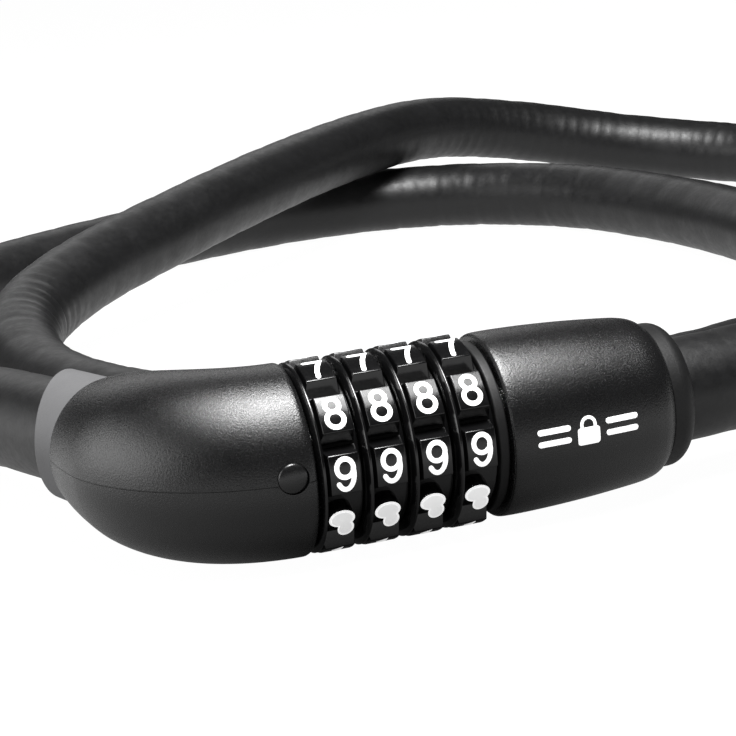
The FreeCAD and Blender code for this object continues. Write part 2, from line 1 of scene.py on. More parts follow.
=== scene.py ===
"""Cable lock with four number dials, lying on a table with its cable in two loose turns.

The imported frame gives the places, the bodies and the joints. The classes below build the visible
pieces round it, in metres, and dress every piece and every inner part of the frame.
"""
import json
import logging
import math
from dataclasses import dataclass, field
from enum import Enum
from typing import Sequence

import bmesh
import bpy
from mathutils import Matrix, Vector, noise


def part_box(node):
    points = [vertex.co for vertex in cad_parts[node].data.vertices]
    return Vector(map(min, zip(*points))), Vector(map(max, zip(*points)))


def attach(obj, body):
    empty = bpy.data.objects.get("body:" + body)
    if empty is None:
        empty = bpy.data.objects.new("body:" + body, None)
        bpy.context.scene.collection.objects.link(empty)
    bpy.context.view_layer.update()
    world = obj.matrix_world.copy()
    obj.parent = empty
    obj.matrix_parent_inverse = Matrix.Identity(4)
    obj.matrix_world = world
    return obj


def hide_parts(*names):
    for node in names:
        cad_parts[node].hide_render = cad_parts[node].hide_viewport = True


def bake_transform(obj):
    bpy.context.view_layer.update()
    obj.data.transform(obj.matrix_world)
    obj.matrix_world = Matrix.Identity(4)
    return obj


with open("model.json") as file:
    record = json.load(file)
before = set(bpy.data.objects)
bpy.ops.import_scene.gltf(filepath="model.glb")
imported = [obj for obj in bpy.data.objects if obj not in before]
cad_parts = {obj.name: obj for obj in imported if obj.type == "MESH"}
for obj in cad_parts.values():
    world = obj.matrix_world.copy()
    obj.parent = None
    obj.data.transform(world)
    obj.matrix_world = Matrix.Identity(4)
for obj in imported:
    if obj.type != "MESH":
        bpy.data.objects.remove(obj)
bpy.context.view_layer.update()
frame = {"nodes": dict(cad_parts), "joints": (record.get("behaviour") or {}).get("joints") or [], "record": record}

LOG = logging.getLogger("cable_lock")
MM = 0.001
UP = Vector((0, 0, 1))
ALONG = Vector((1, 0, 0))
ACROSS = Vector((0, 1, 0))
Colour = tuple[float, float, float]
RingStop = tuple[Vector, Vector, float]


class Body(Enum):
    """The bodies of the frame that pieces ride on."""

    LOCK = "lock_body"
    PLUG = "plug"


# ---- where things are ---------------------------------------------------------------------
@dataclass(frozen=True)
class Place:
    """The dial pack's middle on the barrel's axis, and what the frame says about the barrel."""

    middle: Vector
    pitch: float
    barrel_r: float
    elbow_face: float
    plug_start: float
    plug_end: float

    @classmethod
    def from_frame(cls) -> "Place":
        """Read the places from the frame's boxes and the first dial's joint."""
        first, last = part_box("dial_1"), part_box("dial_4")
        turn = next(joint for joint in frame["joints"] if joint["name"] == "dial_1_turn")
        axis = Vector(turn["pos_m"])
        middle = Vector(((first[0].x + last[1].x) / 2, axis.y, axis.z))
        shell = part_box("plug_shell")
        return cls(
            middle=middle,
            pitch=(last[0].x - first[0].x) / 3,
            barrel_r=axis.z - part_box("elbow_shell_lower")[0].z,
            elbow_face=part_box("elbow_shell_lower")[1].x - middle.x,
            plug_start=shell[0].x - middle.x,
            plug_end=shell[1].x - middle.x,
        )

    def at(self, x: float, y: float = 0.0, z: float = 0.0) -> Vector:
        """Return a point given from the dial pack's middle."""
        return self.middle + Vector((x, y, z))

    def on_table(self, x: float, y: float, z: float) -> Vector:
        """Return a point given from the dial pack's middle, with z from the table."""
        return Vector((self.middle.x + x, self.middle.y + y, z))


# ---- mesh work ----------------------------------------------------------------------------
def add_ring(bm: bmesh.types.BMesh, stop: RingStop, sides: int, up: Vector = UP) -> list[bmesh.types.BMVert]:
    """Add a circle of loose edges.

    Args:
        bm: The mesh to add to.
        stop: The circle's centre, the direction it faces and its radius.
        sides: How many edges it has.
        up: A direction that its first turn is measured from.

    Returns:
        Its vertices, in order.
    """
    centre, direction, radius = stop
    side = direction.cross(up).normalized()
    over = direction.cross(side)
    turn = Matrix((side, over, direction)).transposed().to_4x4()
    made = bmesh.ops.create_circle(
        bm, cap_ends=False, segments=sides, radius=radius, matrix=Matrix.Translation(centre) @ turn
    )
    return made["verts"]


def join_rings(
    bm: bmesh.types.BMesh, before: Sequence[bmesh.types.BMVert], after: Sequence[bmesh.types.BMVert]
) -> None:
    """Join two circles with the same number of edges, vertex to vertex."""
    for index in range(len(before)):
        bm.faces.new((before[index - 1], before[index], after[index], after[index - 1]))


def ring_loft(bm: bmesh.types.BMesh, stops: Sequence[RingStop], sides: int, closed: bool = True) -> None:
    """Join circles one after the other into a skin.

    Args:
        bm: The mesh to add to.
        stops: The circles, in order.
        sides: How many edges each has.
        closed: Whether the last circle joins the first, as on a tube with a wall.
    """
    rings = [add_ring(bm, stop, sides) for stop in stops]
    for before, after in zip(rings, rings[1:]):
        join_rings(bm, before, after)
    if closed:
        join_rings(bm, rings[-1], rings[0])


def lathe(
    bm: bmesh.types.BMesh, profile: Sequence[tuple[float, float]], origin: Vector, axis: Vector,
    steps: int
) -> None:
    """Turn an outline about an axis; it closes on itself unless both its ends are on the axis.

    Args:
        bm: The mesh to add to.
        profile: Points as (distance along the axis, radius), in order round the outline.
        origin: Where the distances start.
        axis: The axis, a unit vector.
        steps: How many steps make a full turn.
    """
    across = UP if abs(axis.z) < 0.5 else ALONG
    verts = [bm.verts.new(origin + axis * along + across * radius) for along, radius in profile]
    edges = [bm.edges.new((a, b)) for a, b in zip(verts, verts[1:])]
    if profile[0][1] > 0 or profile[-1][1] > 0:
        edges.append(bm.edges.new((verts[-1], verts[0])))
    bmesh.ops.spin(
        bm, geom=verts + edges, cent=origin, axis=axis, angle=math.tau, steps=steps, use_merge=True
    )
    bmesh.ops.remove_doubles(bm, verts=bm.verts[:], dist=1e-6)
    bmesh.ops.recalc_face_normals(bm, faces=bm.faces[:])


def round_corners(
    bm: bmesh.types.BMesh, origin: Vector, axis: Vector, corners: Sequence[tuple[float, float]],
    size: float, segments: int = 3
) -> None:
    """Round the circular edges of a turned mesh at the given corners of its outline.

    Args:
        bm: The turned mesh.
        origin: Where distances along the axis start.
        axis: The axis, a unit vector.
        corners: The corners, as (distance along the axis, radius).
        size: The rounding's width.
        segments: How many strips it has.
    """

    def is_at(vert: bmesh.types.BMVert, corner: tuple[float, float]) -> bool:
        """Say whether a vertex lies on a corner's circle."""
        arm = vert.co - origin
        along = arm.dot(axis)
        return abs(along - corner[0]) < 2e-5 and abs((arm - axis * along).length - corner[1]) < 2e-5

    edges = [
        edge for edge in bm.edges if any(
            all(is_at(vert, corner) for vert in edge.verts) for corner in corners
        )
    ]
    bevel(bm, edges, size, segments)


def bevel(bm: bmesh.types.BMesh, edges: list, size: float, segments: int = 2) -> None:
    """Bevel some edges of a mesh."""
    bmesh.ops.bevel(
        bm, geom=edges, offset=size, segments=segments, profile=0.5, affect="EDGES", material=-1,
        clamp_overlap=True
    )


def slice_flat(bm: bmesh.types.BMesh, axes: Sequence[Vector], spacing: float) -> None:
    """Cut a mesh into narrow strips across some axes, so that it can be bent smoothly."""
    for axis in axes:
        reach = [vert.co.dot(axis) for vert in bm.verts]
        count = int((max(reach) - min(reach)) / spacing)
        for step in range(1, count + 1):
            level = min(reach) + (max(reach) - min(reach)) * step / (count + 1)
            bmesh.ops.bisect_plane(
                bm, geom=bm.verts[
                    :
                ] + bm.edges[:] + bm.faces[:], dist=1e-7, plane_co=axis * level, plane_no=axis
            )


def to_object(bm: bmesh.types.BMesh, name: str) -> bpy.types.Object:
    """Make an object of a mesh, at the origin, and free the mesh."""
    mesh = bpy.data.meshes.new(name)
    bm.to_mesh(mesh)
    bm.free()
    made = bpy.data.objects.new(name, mesh)
    bpy.context.scene.collection.objects.link(made)
    return made


def pour(source: bmesh.types.BMesh, target: bmesh.types.BMesh) -> None:
    """Add all of one mesh to another, and free the first."""
    mesh = bpy.data.meshes.new("poured")
    source.to_mesh(mesh)
    source.free()
    target.from_mesh(mesh)
    bpy.data.meshes.remove(mesh)


def combine(target: bpy.types.Object, tool: bpy.types.Object, operation: str) -> None:
    """Join a tool to a target or cut it away, and remove the tool.

    Args:
        target: The object that stays.
        tool: The object that is used up.
        operation: UNION or DIFFERENCE.
    """
    modifier = target.modifiers.new("combine", "BOOLEAN")
    modifier.object = tool
    modifier.operation = operation
    modifier.solver = "EXACT"
    bpy.context.view_layer.update()
    ready = target.evaluated_get(bpy.context.evaluated_depsgraph_get())
    old, new = target.data, bpy.data.meshes.new_from_object(ready)
    target.modifiers.clear()
    target.data = new
    new.name = old.name
    bpy.data.meshes.remove(old)
    bpy.data.meshes.remove(tool.data)


def copy_of(source: bpy.types.Object, name: str, shift: Vector) -> bpy.types.Object:
    """Return a copy of an object with its own mesh, shifted in the mesh."""
    mesh = source.data.copy()
    mesh.transform(Matrix.Translation(shift))
    made = bpy.data.objects.new(name, mesh)
    bpy.context.scene.collection.objects.link(made)
    return made


@dataclass
class Dresser:
    """Gives a finished mesh its finish and its body, and hides the frame's nodes that it stands for."""

    count: int = 0

    def piece(
        self,
        made: bpy.types.Object,
        material: bpy.types.Material,
        body: str | None,
        replaced: Sequence[str] = (),
        sharp: float = 32.0,
    ) -> bpy.types.Object:
        """Dress a piece.

        Args:
            made: The finished object, at the origin.
            material: Its finish.
            body: The body that it rides on, or None for a piece that spans two and is left unattached.
            replaced: The frame's nodes that it stands for.
            sharp: The angle in degrees from which an edge stays sharp.

        Returns:
            The same object.
        """
        mesh = made.data
        mesh.materials.clear()
        mesh.materials.append(material)
        mesh.polygons.foreach_set("use_smooth", [True] * len(mesh.polygons))
        mesh.set_sharp_from_angle(angle=math.radians(sharp))
        normals = made.modifiers.new("even_normals", "WEIGHTED_NORMAL")
        normals.keep_sharp = True
        if body:
            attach(made, body)
        if replaced:
            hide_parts(*replaced)
        self.count += 1
        LOG.info("%s: %d faces, on %s", made.name, len(mesh.polygons), body or "two bodies")
        return made


# ---- finishes -----------------------------------------------------------------------------
class Nodes:
    """A small helper that adds and links nodes in one tree."""

    def __init__(self, tree: bpy.types.NodeTree) -> None:
        """Keep the tree."""
        self.tree = tree

    def add(self, kind: str, **values: object) -> bpy.types.Node:
        """Add a node and set its inputs or settings by name, with _ for a space in an input's name."""
        node = self.tree.nodes.new(kind)
        for key, value in values.items():
            if hasattr(node, key):
                setattr(node, key, value)
            else:
                node.inputs[key.replace("_", " ")].default_value = value
        return node

    def link(self, source: bpy.types.NodeSocket, target: bpy.types.NodeSocket) -> None:
        """Link two sockets."""
        self.tree.links.new(source, target)

    def math(self, operation: str, a: object, b: object, clamp: bool = False) -> bpy.types.NodeSocket:
        """Add a math node whose operands are sockets or numbers, and return its output."""
        node = self.tree.nodes.new("ShaderNodeMath")
        node.operation = operation
        node.use_clamp = clamp
        for socket, value in zip(node.inputs, (a, b)):
            if isinstance(value, bpy.types.NodeSocket):
                self.link(value, socket)
            else:
                socket.default_value = value
        return node.outputs[0]

    def mix_colour(self, share: bpy.types.NodeSocket, a: object, b: object) -> bpy.types.NodeSocket:
        """Add a colour mix between two sockets or colours, and return its output."""
        node = self.tree.nodes.new("ShaderNodeMix")
        node.data_type = "RGBA"
        self.link(share, node.inputs[0])
        for socket, value in zip((node.inputs[6], node.inputs[7]), (a, b)):
            if isinstance(value, bpy.types.NodeSocket):
                self.link(value, socket)
            else:
                socket.default_value = (*value, 1.0)
        return node.outputs[2]

    def between(self, share: bpy.types.NodeSocket, low: object, high: object) -> bpy.types.NodeSocket:
        """Add a float mix between two numbers or sockets, and return its output."""
        node = self.tree.nodes.new("ShaderNodeMix")
        node.data_type = "FLOAT"
        self.link(share, node.inputs[0])
        for socket, value in zip((node.inputs[2], node.inputs[3]), (low, high)):
            if isinstance(value, bpy.types.NodeSocket):
                self.link(value, socket)
            else:
                socket.default_value = value
        return node.outputs[0]

    def noise(
        self, vector: bpy.types.NodeSocket, scale: object, detail: float, roughness: float = 0.5
    ) -> bpy.types.NodeSocket:
        """Add a noise texture and return its value."""
        node = self.add("ShaderNodeTexNoise", Detail=detail, Roughness=roughness)
        self.link(vector, node.inputs["Vector"])
        if isinstance(scale, bpy.types.NodeSocket):
            self.link(scale, node.inputs["Scale"])
        else:
            node.inputs["Scale"].default_value = scale
        return node.outputs["Fac"]


def new_group(
    name: str, inputs: dict[str, object], outputs: dict[str, str]
) -> tuple[bpy.types.NodeTree, Nodes, object, object]:
    """Start a shader node group.

    Args:
        name: The group's name.
        inputs: Input names with their defaults: a number, or a colour of three.
        outputs: Output names with their socket types.

    Returns:
        The group, its helper, and its input and output nodes.
    """
    group = bpy.data.node_groups.new(name, "ShaderNodeTree")
    for key, value in inputs.items():
        kind = "NodeSocketColor" if isinstance(value, tuple) else "NodeSocketFloat"
        socket = group.interface.new_socket(key, in_out="INPUT", socket_type=kind)
        socket.default_value = (*value, 1.0) if isinstance(value, tuple) else value
    for key, kind in outputs.items():
        group.interface.new_socket(key, in_out="OUTPUT", socket_type=kind)
    nodes = Nodes(group)
    return group, nodes, nodes.add("NodeGroupInput"), nodes.add("NodeGroupOutput")


class Effects:
    """The shader effects that several finishes share, each built once."""

    def __init__(self) -> None:
        """Build the groups."""
        self.grain = self._grain()
        self.handling = self._handling()
        self.tooling = self._tooling()

    def _grain(self) -> bpy.types.NodeTree:
        """Return the pebbled grain of a spark-eroded mould, as a height and a gloss."""
        group, nodes, given, out = new_group(
            "mould_grain",
            {"Scale": 2500.0, "Low": 0.3, "High": 0.5},
            {"Height": "NodeSocketFloat", "Roughness": "NodeSocketFloat"},
        )
        where = nodes.add("ShaderNodeTexCoord").outputs["Object"]
        pebbles = nodes.noise(where, given.outputs["Scale"], 4.0, 0.62)
        spread = nodes.add("ShaderNodeMapRange", From_Min=0.34, From_Max=0.66)
        nodes.link(pebbles, spread.inputs["Value"])
        nodes.link(spread.outputs["Result"], out.inputs["Height"])
        patches = nodes.noise(where, 140.0, 2.0)
        blend = nodes.math(
            "ADD", nodes.math("MULTIPLY", spread.outputs["Result"], 0.65),
            nodes.math("MULTIPLY", patches, 0.35)
        )
        rough = nodes.between(blend, given.outputs["Low"], given.outputs["High"])
        nodes.link(rough, out.inputs["Roughness"])
        return group

    def _handling(self) -> bpy.types.NodeTree:
        """Return what handling leaves: faint smears and specks of dust, as a mask and a tinted colour."""
        group, nodes, given, out = new_group(
            "handling",
            {"Clean": (0.02, 0.02, 0.02), "Handled": (0.04, 0.04, 0.04), "Amount": 0.5},
            {"Colour": "NodeSocketColor", "Mask": "NodeSocketFloat"},
        )
        where = nodes.add("ShaderNodeTexCoord").outputs["Object"]
        smears = nodes.noise(where, 90.0, 5.0, 0.6)
        specks = nodes.noise(where, 1900.0, 2.0, 0.5)
        soft = nodes.add("ShaderNodeMapRange", From_Min=0.42, From_Max=0.72)
        nodes.link(smears, soft.inputs["Value"])
        dots = nodes.add("ShaderNodeMapRange", From_Min=0.66, From_Max=0.74)
        nodes.link(specks, dots.inputs["Value"])
        both = nodes.math(
            "ADD", nodes.math("MULTIPLY", soft.outputs["Result"], 0.7),
            nodes.math("MULTIPLY", dots.outputs["Result"], 0.5), True
        )
        mask = nodes.math("MULTIPLY", both, given.outputs["Amount"], True)
        nodes.link(
            nodes.mix_colour(mask, given.outputs["Clean"], given.outputs["Handled"]), out.inputs["Colour"]
        )
        nodes.link(mask, out.inputs["Mask"])
        return group

    def _tooling(self) -> bpy.types.NodeTree:
        """Return the fine rings that turning leaves round the barrel's axis, as a height and a gloss."""
        group, nodes, given, out = new_group(
            "tooling",
            {"Scale": 4000.0, "Low": 0.2, "High": 0.4},
            {"Height": "NodeSocketFloat", "Roughness": "NodeSocketFloat"},
        )
        where = nodes.add("ShaderNodeTexCoord").outputs["Object"]
        squeeze = nodes.add("ShaderNodeMapping")
        squeeze.inputs["Scale"].default_value = (1.0, 0.06, 0.06)
        nodes.link(where, squeeze.inputs["Vector"])
        rings = nodes.noise(squeeze.outputs["Vector"], given.outputs["Scale"], 3.0)
        nodes.link(rings, out.inputs["Height"])
        nodes.link(
            nodes.between(rings, given.outputs["Low"], given.outputs["High"]), out.inputs["Roughness"]
        )
        return group


@dataclass(frozen=True)
class Plastic:
    """A moulded plastic."""

    name: str
    clean: Colour
    handled: Colour
    low: float
    high: float
    grain_scale: float
    grain_height: float
    wear: float = 0.5
    specular: float = 0.5
    # painted_glow: emission strength of a paint that glows by itself, painted light standing in for lamp light
    painted_glow: float = 0.0


@dataclass(frozen=True)
class Metal:
    """A plain metal, cast or turned."""

    name: str
    clean: Colour
    handled: Colour
    low: float
    high: float
    turned: bool
    scale: float
    height: float
    wear: float = 0.6


class Finishes:
    """Every finish on the lock, as materials."""

    plastics = (
        Plastic(
            "housing_plastic", clean=(0.0045, 0.0045, 0.0047), handled=(0.0085, 0.0085, 0.0088),
            low=0.18, high=0.34, grain_scale=4200.0, grain_height=0.000020,
        ),
        Plastic(
            "collar_plastic", clean=(0.085, 0.085, 0.087), handled=(0.105, 0.105, 0.107), low=0.55,
            high=0.68, grain_scale=2600.0, grain_height=0.000010, wear=0.6, specular=0.3,
        ),
        Plastic(
            "retainer_plastic", clean=(0.004, 0.004, 0.0042), handled=(0.008, 0.008, 0.008), low=0.45,
            high=0.6, grain_scale=2600.0, grain_height=0.000010, wear=0.5, specular=0.3,
        ),
        Plastic(
            "dial_plastic", clean=(0.0028, 0.0028, 0.003), handled=(0.006, 0.006, 0.0062), low=0.13,
            high=0.22, grain_scale=1500.0, grain_height=0.000003, wear=0.35, specular=0.5,
        ),
        Plastic(
            "cable_sheath", clean=(0.005, 0.005, 0.0052), handled=(0.010, 0.010, 0.0105), low=0.36,
            high=0.5, grain_scale=700.0, grain_height=0.000016, wear=0.6, specular=0.38,
        ),
        # The numbers', sign's and marker's paint glows by itself: painted light, so it reads bright white however
        # little lamp light falls on it.
        Plastic(
            "number_paint", clean=(0.93, 0.93, 0.93), handled=(0.88, 0.88, 0.87), low=0.4, high=0.55,
            grain_scale=3000.0, grain_height=0.000003, wear=0.2, specular=0.3, painted_glow=0.6,
        ),
        Plastic(
            "marker_paint", clean=(0.70, 0.70, 0.70), handled=(0.90, 0.90, 0.90), low=0.3, high=0.45,
            grain_scale=900.0, grain_height=0.000004, wear=1.0, specular=0.3, painted_glow=0.62,
        ),
        Plastic(
            "blackened_pin", clean=(0.005, 0.005, 0.0052), handled=(0.01, 0.01, 0.01), low=0.2,
            high=0.34, grain_scale=3000.0, grain_height=0.000006, wear=0.4, specular=0.5,
        ),
    )
    metals = (
        Metal(
            "cast_zinc", clean=(0.50, 0.50, 0.51), handled=(0.38, 0.38, 0.39), low=0.38, high=0.56,
            turned=False, scale=1800.0, height=0.000012,
        ),
        Metal(
            "plain_steel", clean=(0.60, 0.60, 0.61), handled=(0.46, 0.46, 0.47), low=0.22, high=0.38,
            turned=True, scale=3000.0, height=0.000004,
        ),
    )

    def __init__(self, effects: Effects) -> None:
        """Build every material from its values."""
        self.effects = effects
        self.materials = {finish.name: self._plastic(finish) for finish in self.plastics}
        self.materials.update({finish.name: self._metal(finish) for finish in self.metals})

    def __getitem__(self, name: str) -> bpy.types.Material:
        """Return a material by its finish's name."""
        return self.materials[name]

    def _start(self, name: str) -> tuple[bpy.types.Material, Nodes, bpy.types.Node]:
        """Return a new material, its helper and its shader."""
        material = bpy.data.materials.new(name)
        material.use_nodes = True
        nodes = Nodes(material.node_tree)
        return material, nodes, material.node_tree.nodes["Principled BSDF"]

    def _group(self, nodes: Nodes, group: bpy.types.NodeTree, **values: object) -> bpy.types.Node:
        """Place a shared effect in a material with its own values."""
        node = nodes.tree.nodes.new("ShaderNodeGroup")
        node.node_tree = group
        for key, value in values.items():
            node.inputs[key].default_value = (*value, 1.0) if isinstance(value, tuple) else value
        return node

    def _bump(
        self, nodes: Nodes, height: bpy.types.NodeSocket, distance: float, shader: bpy.types.Node
    ) -> None:
        """Turn a height into the shader's normal."""
        bump = nodes.add("ShaderNodeBump", Strength=1.0, Distance=distance)
        nodes.link(height, bump.inputs["Height"])
        nodes.link(bump.outputs["Normal"], shader.inputs["Normal"])

    def _plastic(self, finish: Plastic) -> bpy.types.Material:
        """Return a moulded plastic."""
        material, nodes, shader = self._start(finish.name)
        grain = self._group(
            nodes, self.effects.grain, Scale=finish.grain_scale, Low=finish.low, High=finish.high
        )
        handling = self._group(
            nodes, self.effects.handling, Clean=finish.clean, Handled=finish.handled, Amount=finish.wear
        )
        nodes.link(handling.outputs["Colour"], shader.inputs["Base Color"])
        nodes.link(grain.outputs["Roughness"], shader.inputs["Roughness"])
        self._bump(nodes, grain.outputs["Height"], finish.grain_height, shader)
        shader.inputs["Specular IOR Level"].default_value = finish.specular
        # Painted light: the paint's colour is fed to its emission, so it glows though it is no lamp.
        if finish.painted_glow:
            nodes.link(handling.outputs["Colour"], shader.inputs["Emission Color"])
            shader.inputs["Emission Strength"].default_value = finish.painted_glow
        return material

    def _metal(self, finish: Metal) -> bpy.types.Material:
        """Return a metal."""
        material, nodes, shader = self._start(finish.name)
        effect = self.effects.tooling if finish.turned else self.effects.grain
        surface = self._group(nodes, effect, Scale=finish.scale, Low=finish.low, High=finish.high)
        handling = self._group(
            nodes, self.effects.handling, Clean=finish.clean, Handled=finish.handled, Amount=finish.wear
        )
        nodes.link(handling.outputs["Colour"], shader.inputs["Base Color"])
        nodes.link(surface.outputs["Roughness"], shader.inputs["Roughness"])
        self._bump(nodes, surface.outputs["Height"], finish.height, shader)
        shader.inputs["Metallic"].default_value = 1.0
        return material

    def dress_inner_parts(self) -> None:
        """Give every node of the frame that still shows its finish from the record's slots."""
        for part in frame["record"]["subparts"]:
            node = frame["nodes"][part["node"]]
            node.data.materials.clear()
            node.data.materials.append(self[part["material_slot"]])


# ---- elbow --------------------------------------------------------------------------------
@dataclass
class Elbow:
    """The elbow housing in two shells, its pin and the collar that the cable leaves through."""

    place: Place
    bend_r: float = 19.0 * MM
    turn: float = math.radians(68.0)
    tail: float = 10.5 * MM
    mouth_r: float = 10.1 * MM
    wall: float = 2.0 * MM
    lip: float = 1.0 * MM
    end_plate: float = 2.4 * MM
    edge: float = 0.8 * MM
    core_hole_r: float = 5.6 * MM
    washer_hole_r: float = 8.5 * MM
    washer_depth: float = 0.8 * MM
    parting_z: float = 0.65 * MM
    parting_gap: float = 0.05 * MM
    parting_bevel: float = 0.09 * MM
    taper: float = 2.8
    taper_from: float = 0.12
    pin_r: float = 2.1 * MM
    pin_gap: float = 0.05 * MM
    pin_z: float = 1.4 * MM
    pin_from_face: float = 3.35 * MM
    pin_half: float = 13.72 * MM
    pin_dome: float = 0.62 * MM
    collar_len: float = 12.0 * MM
    collar_slant: float = math.radians(36.0)
    collar_round: float = 0.5 * MM
    collar_start_r: float = 9.7 * MM
    collar_end_r: float = 9.3 * MM
    collar_stub: float = 3.0 * MM
    collar_stub_r: float = 9.0 * MM
    cable_hole_r: float = 7.85 * MM
    sides: int = 96
    skin_steps: int = 52
    search_steps: int = 60

    @property
    def length(self) -> float:
        """Return the middle line's length, from the dials to the mouth."""
        return self.bend_r * self.turn + self.tail

    def middle_line(self, along: float) -> tuple[Vector, Vector]:
        """Return the place and direction on the elbow's middle line, counted from its dial face."""
        turned = min(max(along / self.bend_r, 0.0), self.turn)
        spot = self.place.at(
            self.place.elbow_face - self.bend_r * math.sin(turned), self.bend_r * (1 - math.cos(turned))
        )
        direction = Vector((-math.cos(turned), math.sin(turned), 0))
        straight = max(along - self.bend_r * self.turn, min(along, 0.0))
        return spot + direction * straight, direction

    def mouth(self) -> tuple[Vector, Vector]:
        """Return the mouth's middle and the direction that the cable leaves in."""
        return self.middle_line(self.length)

    def radius(self, along: float) -> float:
        """Return the housing's radius: full at the dials, then easing in to the mouth."""
        ease = max(along / self.length - self.taper_from, 0.0) / (1 - self.taper_from)
        return self.place.barrel_r + (self.mouth_r - self.place.barrel_r) * ease**self.taper

    def _skin_stops(self) -> list[RingStop]:
        """Return the circles of the whole housing: out along its skin, and back inside."""
        stations = []
        for step in range(6):
            quarter = math.radians(90 * step / 5)
            stations.append(
                (
                    self.edge * (1 - math.cos(quarter)),
                    self.place.barrel_r - self.edge * (1 - math.sin(quarter))
                )
            )
        count = self.skin_steps
        for step in range(1, count + 1):
            along = self.edge + (self.length - 0.3 * MM - self.edge) * step / count
            stations.append((along, self.radius(along)))
        stations.append((self.length - 0.08 * MM, self.mouth_r - 0.09 * MM))
        stations.append((self.length, self.mouth_r - 0.32 * MM))
        stations.append((self.length, self.mouth_r - self.lip))
        for step in range(1, count + 1):
            along = self.length - (self.length - self.end_plate) * step / count
            thick = self.wall + (self.lip - self.wall) * along / self.length
            stations.append((along, self.radius(along) - thick))
        stations += [
            (self.end_plate, self.core_hole_r),
            (self.washer_depth, self.core_hole_r),
            (self.washer_depth, self.washer_hole_r),
            (0.0, self.washer_hole_r),
        ]
        return [(*self.middle_line(along), radius) for along, radius in stations]

    def _pin_place(self) -> Vector:
        """Return the pin's middle."""
        return self.place.at(self.place.elbow_face - self.pin_from_face, 0.0, self.pin_z)

    def _shell(self, whole: bpy.types.Object, name: str, side: int) -> bpy.types.Object:
        """Return one half of the housing, with a fine bevel along its parting edge.

        Args:
            whole: The whole housing.
            name: The half's name.
            side: 1 for the upper half and -1 for the lower.
        """
        bm = bmesh.new()
        bm.from_mesh(whole.data)
        level = self.place.middle.z + self.parting_z + side * self.parting_gap / 2
        cut = bmesh.ops.bisect_plane(
            bm, geom=bm.verts[:] + bm.edges[:] + bm.faces[:], dist=1e-7,
            plane_co=Vector((0, 0, level)), plane_no=UP * side, clear_inner=True,
        )
        rim = [item for item in cut["geom_cut"] if isinstance(item, bmesh.types.BMEdge)]
        bmesh.ops.triangle_fill(bm, edges=rim, use_beauty=True)
        bmesh.ops.recalc_face_normals(bm, faces=bm.faces[:])
        outer = [edge for edge in rim if edge.is_valid and self._is_outside(edge)]
        bevel(bm, outer, self.parting_bevel, 2)
        return to_object(bm, name)

    def _is_outside(self, edge: bmesh.types.BMEdge) -> bool:
        """Say whether a parting edge lies on the housing's outside."""
        spot = (edge.verts[0].co + edge.verts[1].co) / 2
        ways = (self.length * step / self.search_steps for step in range(self.search_steps + 1))
        nearest = min(ways, key=lambda along: (self.middle_line(along)[0] - spot).length)
        return (self.middle_line(nearest)[0] - spot).length > self.radius(nearest) - 0.5 * self.lip

    def build_shells(self) -> tuple[bpy.types.Object, bpy.types.Object]:
        """Return the upper and the lower shell."""
        bm = bmesh.new()
        ring_loft(bm, self._skin_stops(), self.sides)
        bmesh.ops.recalc_face_normals(bm, faces=bm.faces[:])
        whole = to_object(bm, "elbow_whole")
        hole = bmesh.new()
        lathe(
            hole, self._rod_profile(self.pin_r + self.pin_gap, 15 * MM), self._pin_place(),
            ACROSS, 40
        )
        combine(whole, to_object(hole, "pin_hole"), "DIFFERENCE")
        upper = self._shell(whole, "elbow_upper_housing", 1)
        lower = self._shell(whole, "elbow_lower_housing", -1)
        bpy.data.meshes.remove(whole.data)
        return upper, lower

    def _rod_profile(self, radius: float, half: float) -> list[tuple[float, float]]:
        """Return a plain rod's outline."""
        return [(-half, 0.0), (-half, radius), (half, radius), (half, 0.0)]

    def build_pin(self) -> bpy.types.Object:
        """Return the cross pin, with a low domed head at both ends."""
        crown = [
            (math.cos(math.radians(angle)), math.sin(math.radians(angle)))
            for angle in (90, 72, 54, 38, 24, 12, 0)
        ]
        head = [(-self.pin_half + self.pin_dome * (1 - up), self.pin_r * out) for out, up in crown]
        profile = head + [(-along, radius) for along, radius in reversed(head)]
        bm = bmesh.new()
        lathe(bm, profile, self._pin_place(), ACROSS, 48)
        return to_object(bm, "elbow_cross_pin")

    def build_collar(self) -> bpy.types.Object:
        """Return the grey sleeve round the cable's first stretch, its outer end cut off slanting."""
        mouth, direction = self.mouth()
        start = 0.1 * MM
        longest = self.collar_len + self.collar_end_r * math.tan(self.collar_slant) + 1.0 * MM
        stations = [
            (-self.collar_stub, self.cable_hole_r), (-self.collar_stub, self.collar_stub_r),
            (start, self.collar_stub_r), (start, self.collar_start_r - 0.15 * MM),
            (start + 0.15 * MM, self.collar_start_r), (start + longest, self.collar_end_r),
            (start + longest, self.cable_hole_r),
        ]
        bm = bmesh.new()
        ring_loft(
            bm, [(mouth + direction * along, direction, radius) for along, radius in stations], self.sides
        )
        facing = Matrix.Rotation(self.collar_slant, 3, "Z") @ direction
        cut = bmesh.ops.bisect_plane(
            bm, geom=bm.verts[:] + bm.edges[:] + bm.faces[:], dist=1e-7,
            plane_co=mouth + direction * self.collar_len, plane_no=facing, clear_outer=True,
        )
        rim = [item for item in cut["geom_cut"] if isinstance(item, bmesh.types.BMEdge)]
        bmesh.ops.bridge_loops(bm, edges=rim)
        bmesh.ops.recalc_face_normals(bm, faces=bm.faces[:])
        outer = [
            edge for edge in rim
            if edge.is_valid and self._from_mouth_line(edge) > self.collar_end_r - 0.4 * MM
        ]
        bevel(bm, outer, self.collar_round, 5)
        return to_object(bm, "elbow_cable_collar")

    def _from_mouth_line(self, edge: bmesh.types.BMEdge) -> float:
        """Return an edge's distance from the straight line that leaves the mouth."""
        mouth, direction = self.mouth()
        arm = (edge.verts[0].co + edge.verts[1].co) / 2 - mouth
        return (arm - direction * arm.dot(direction)).length

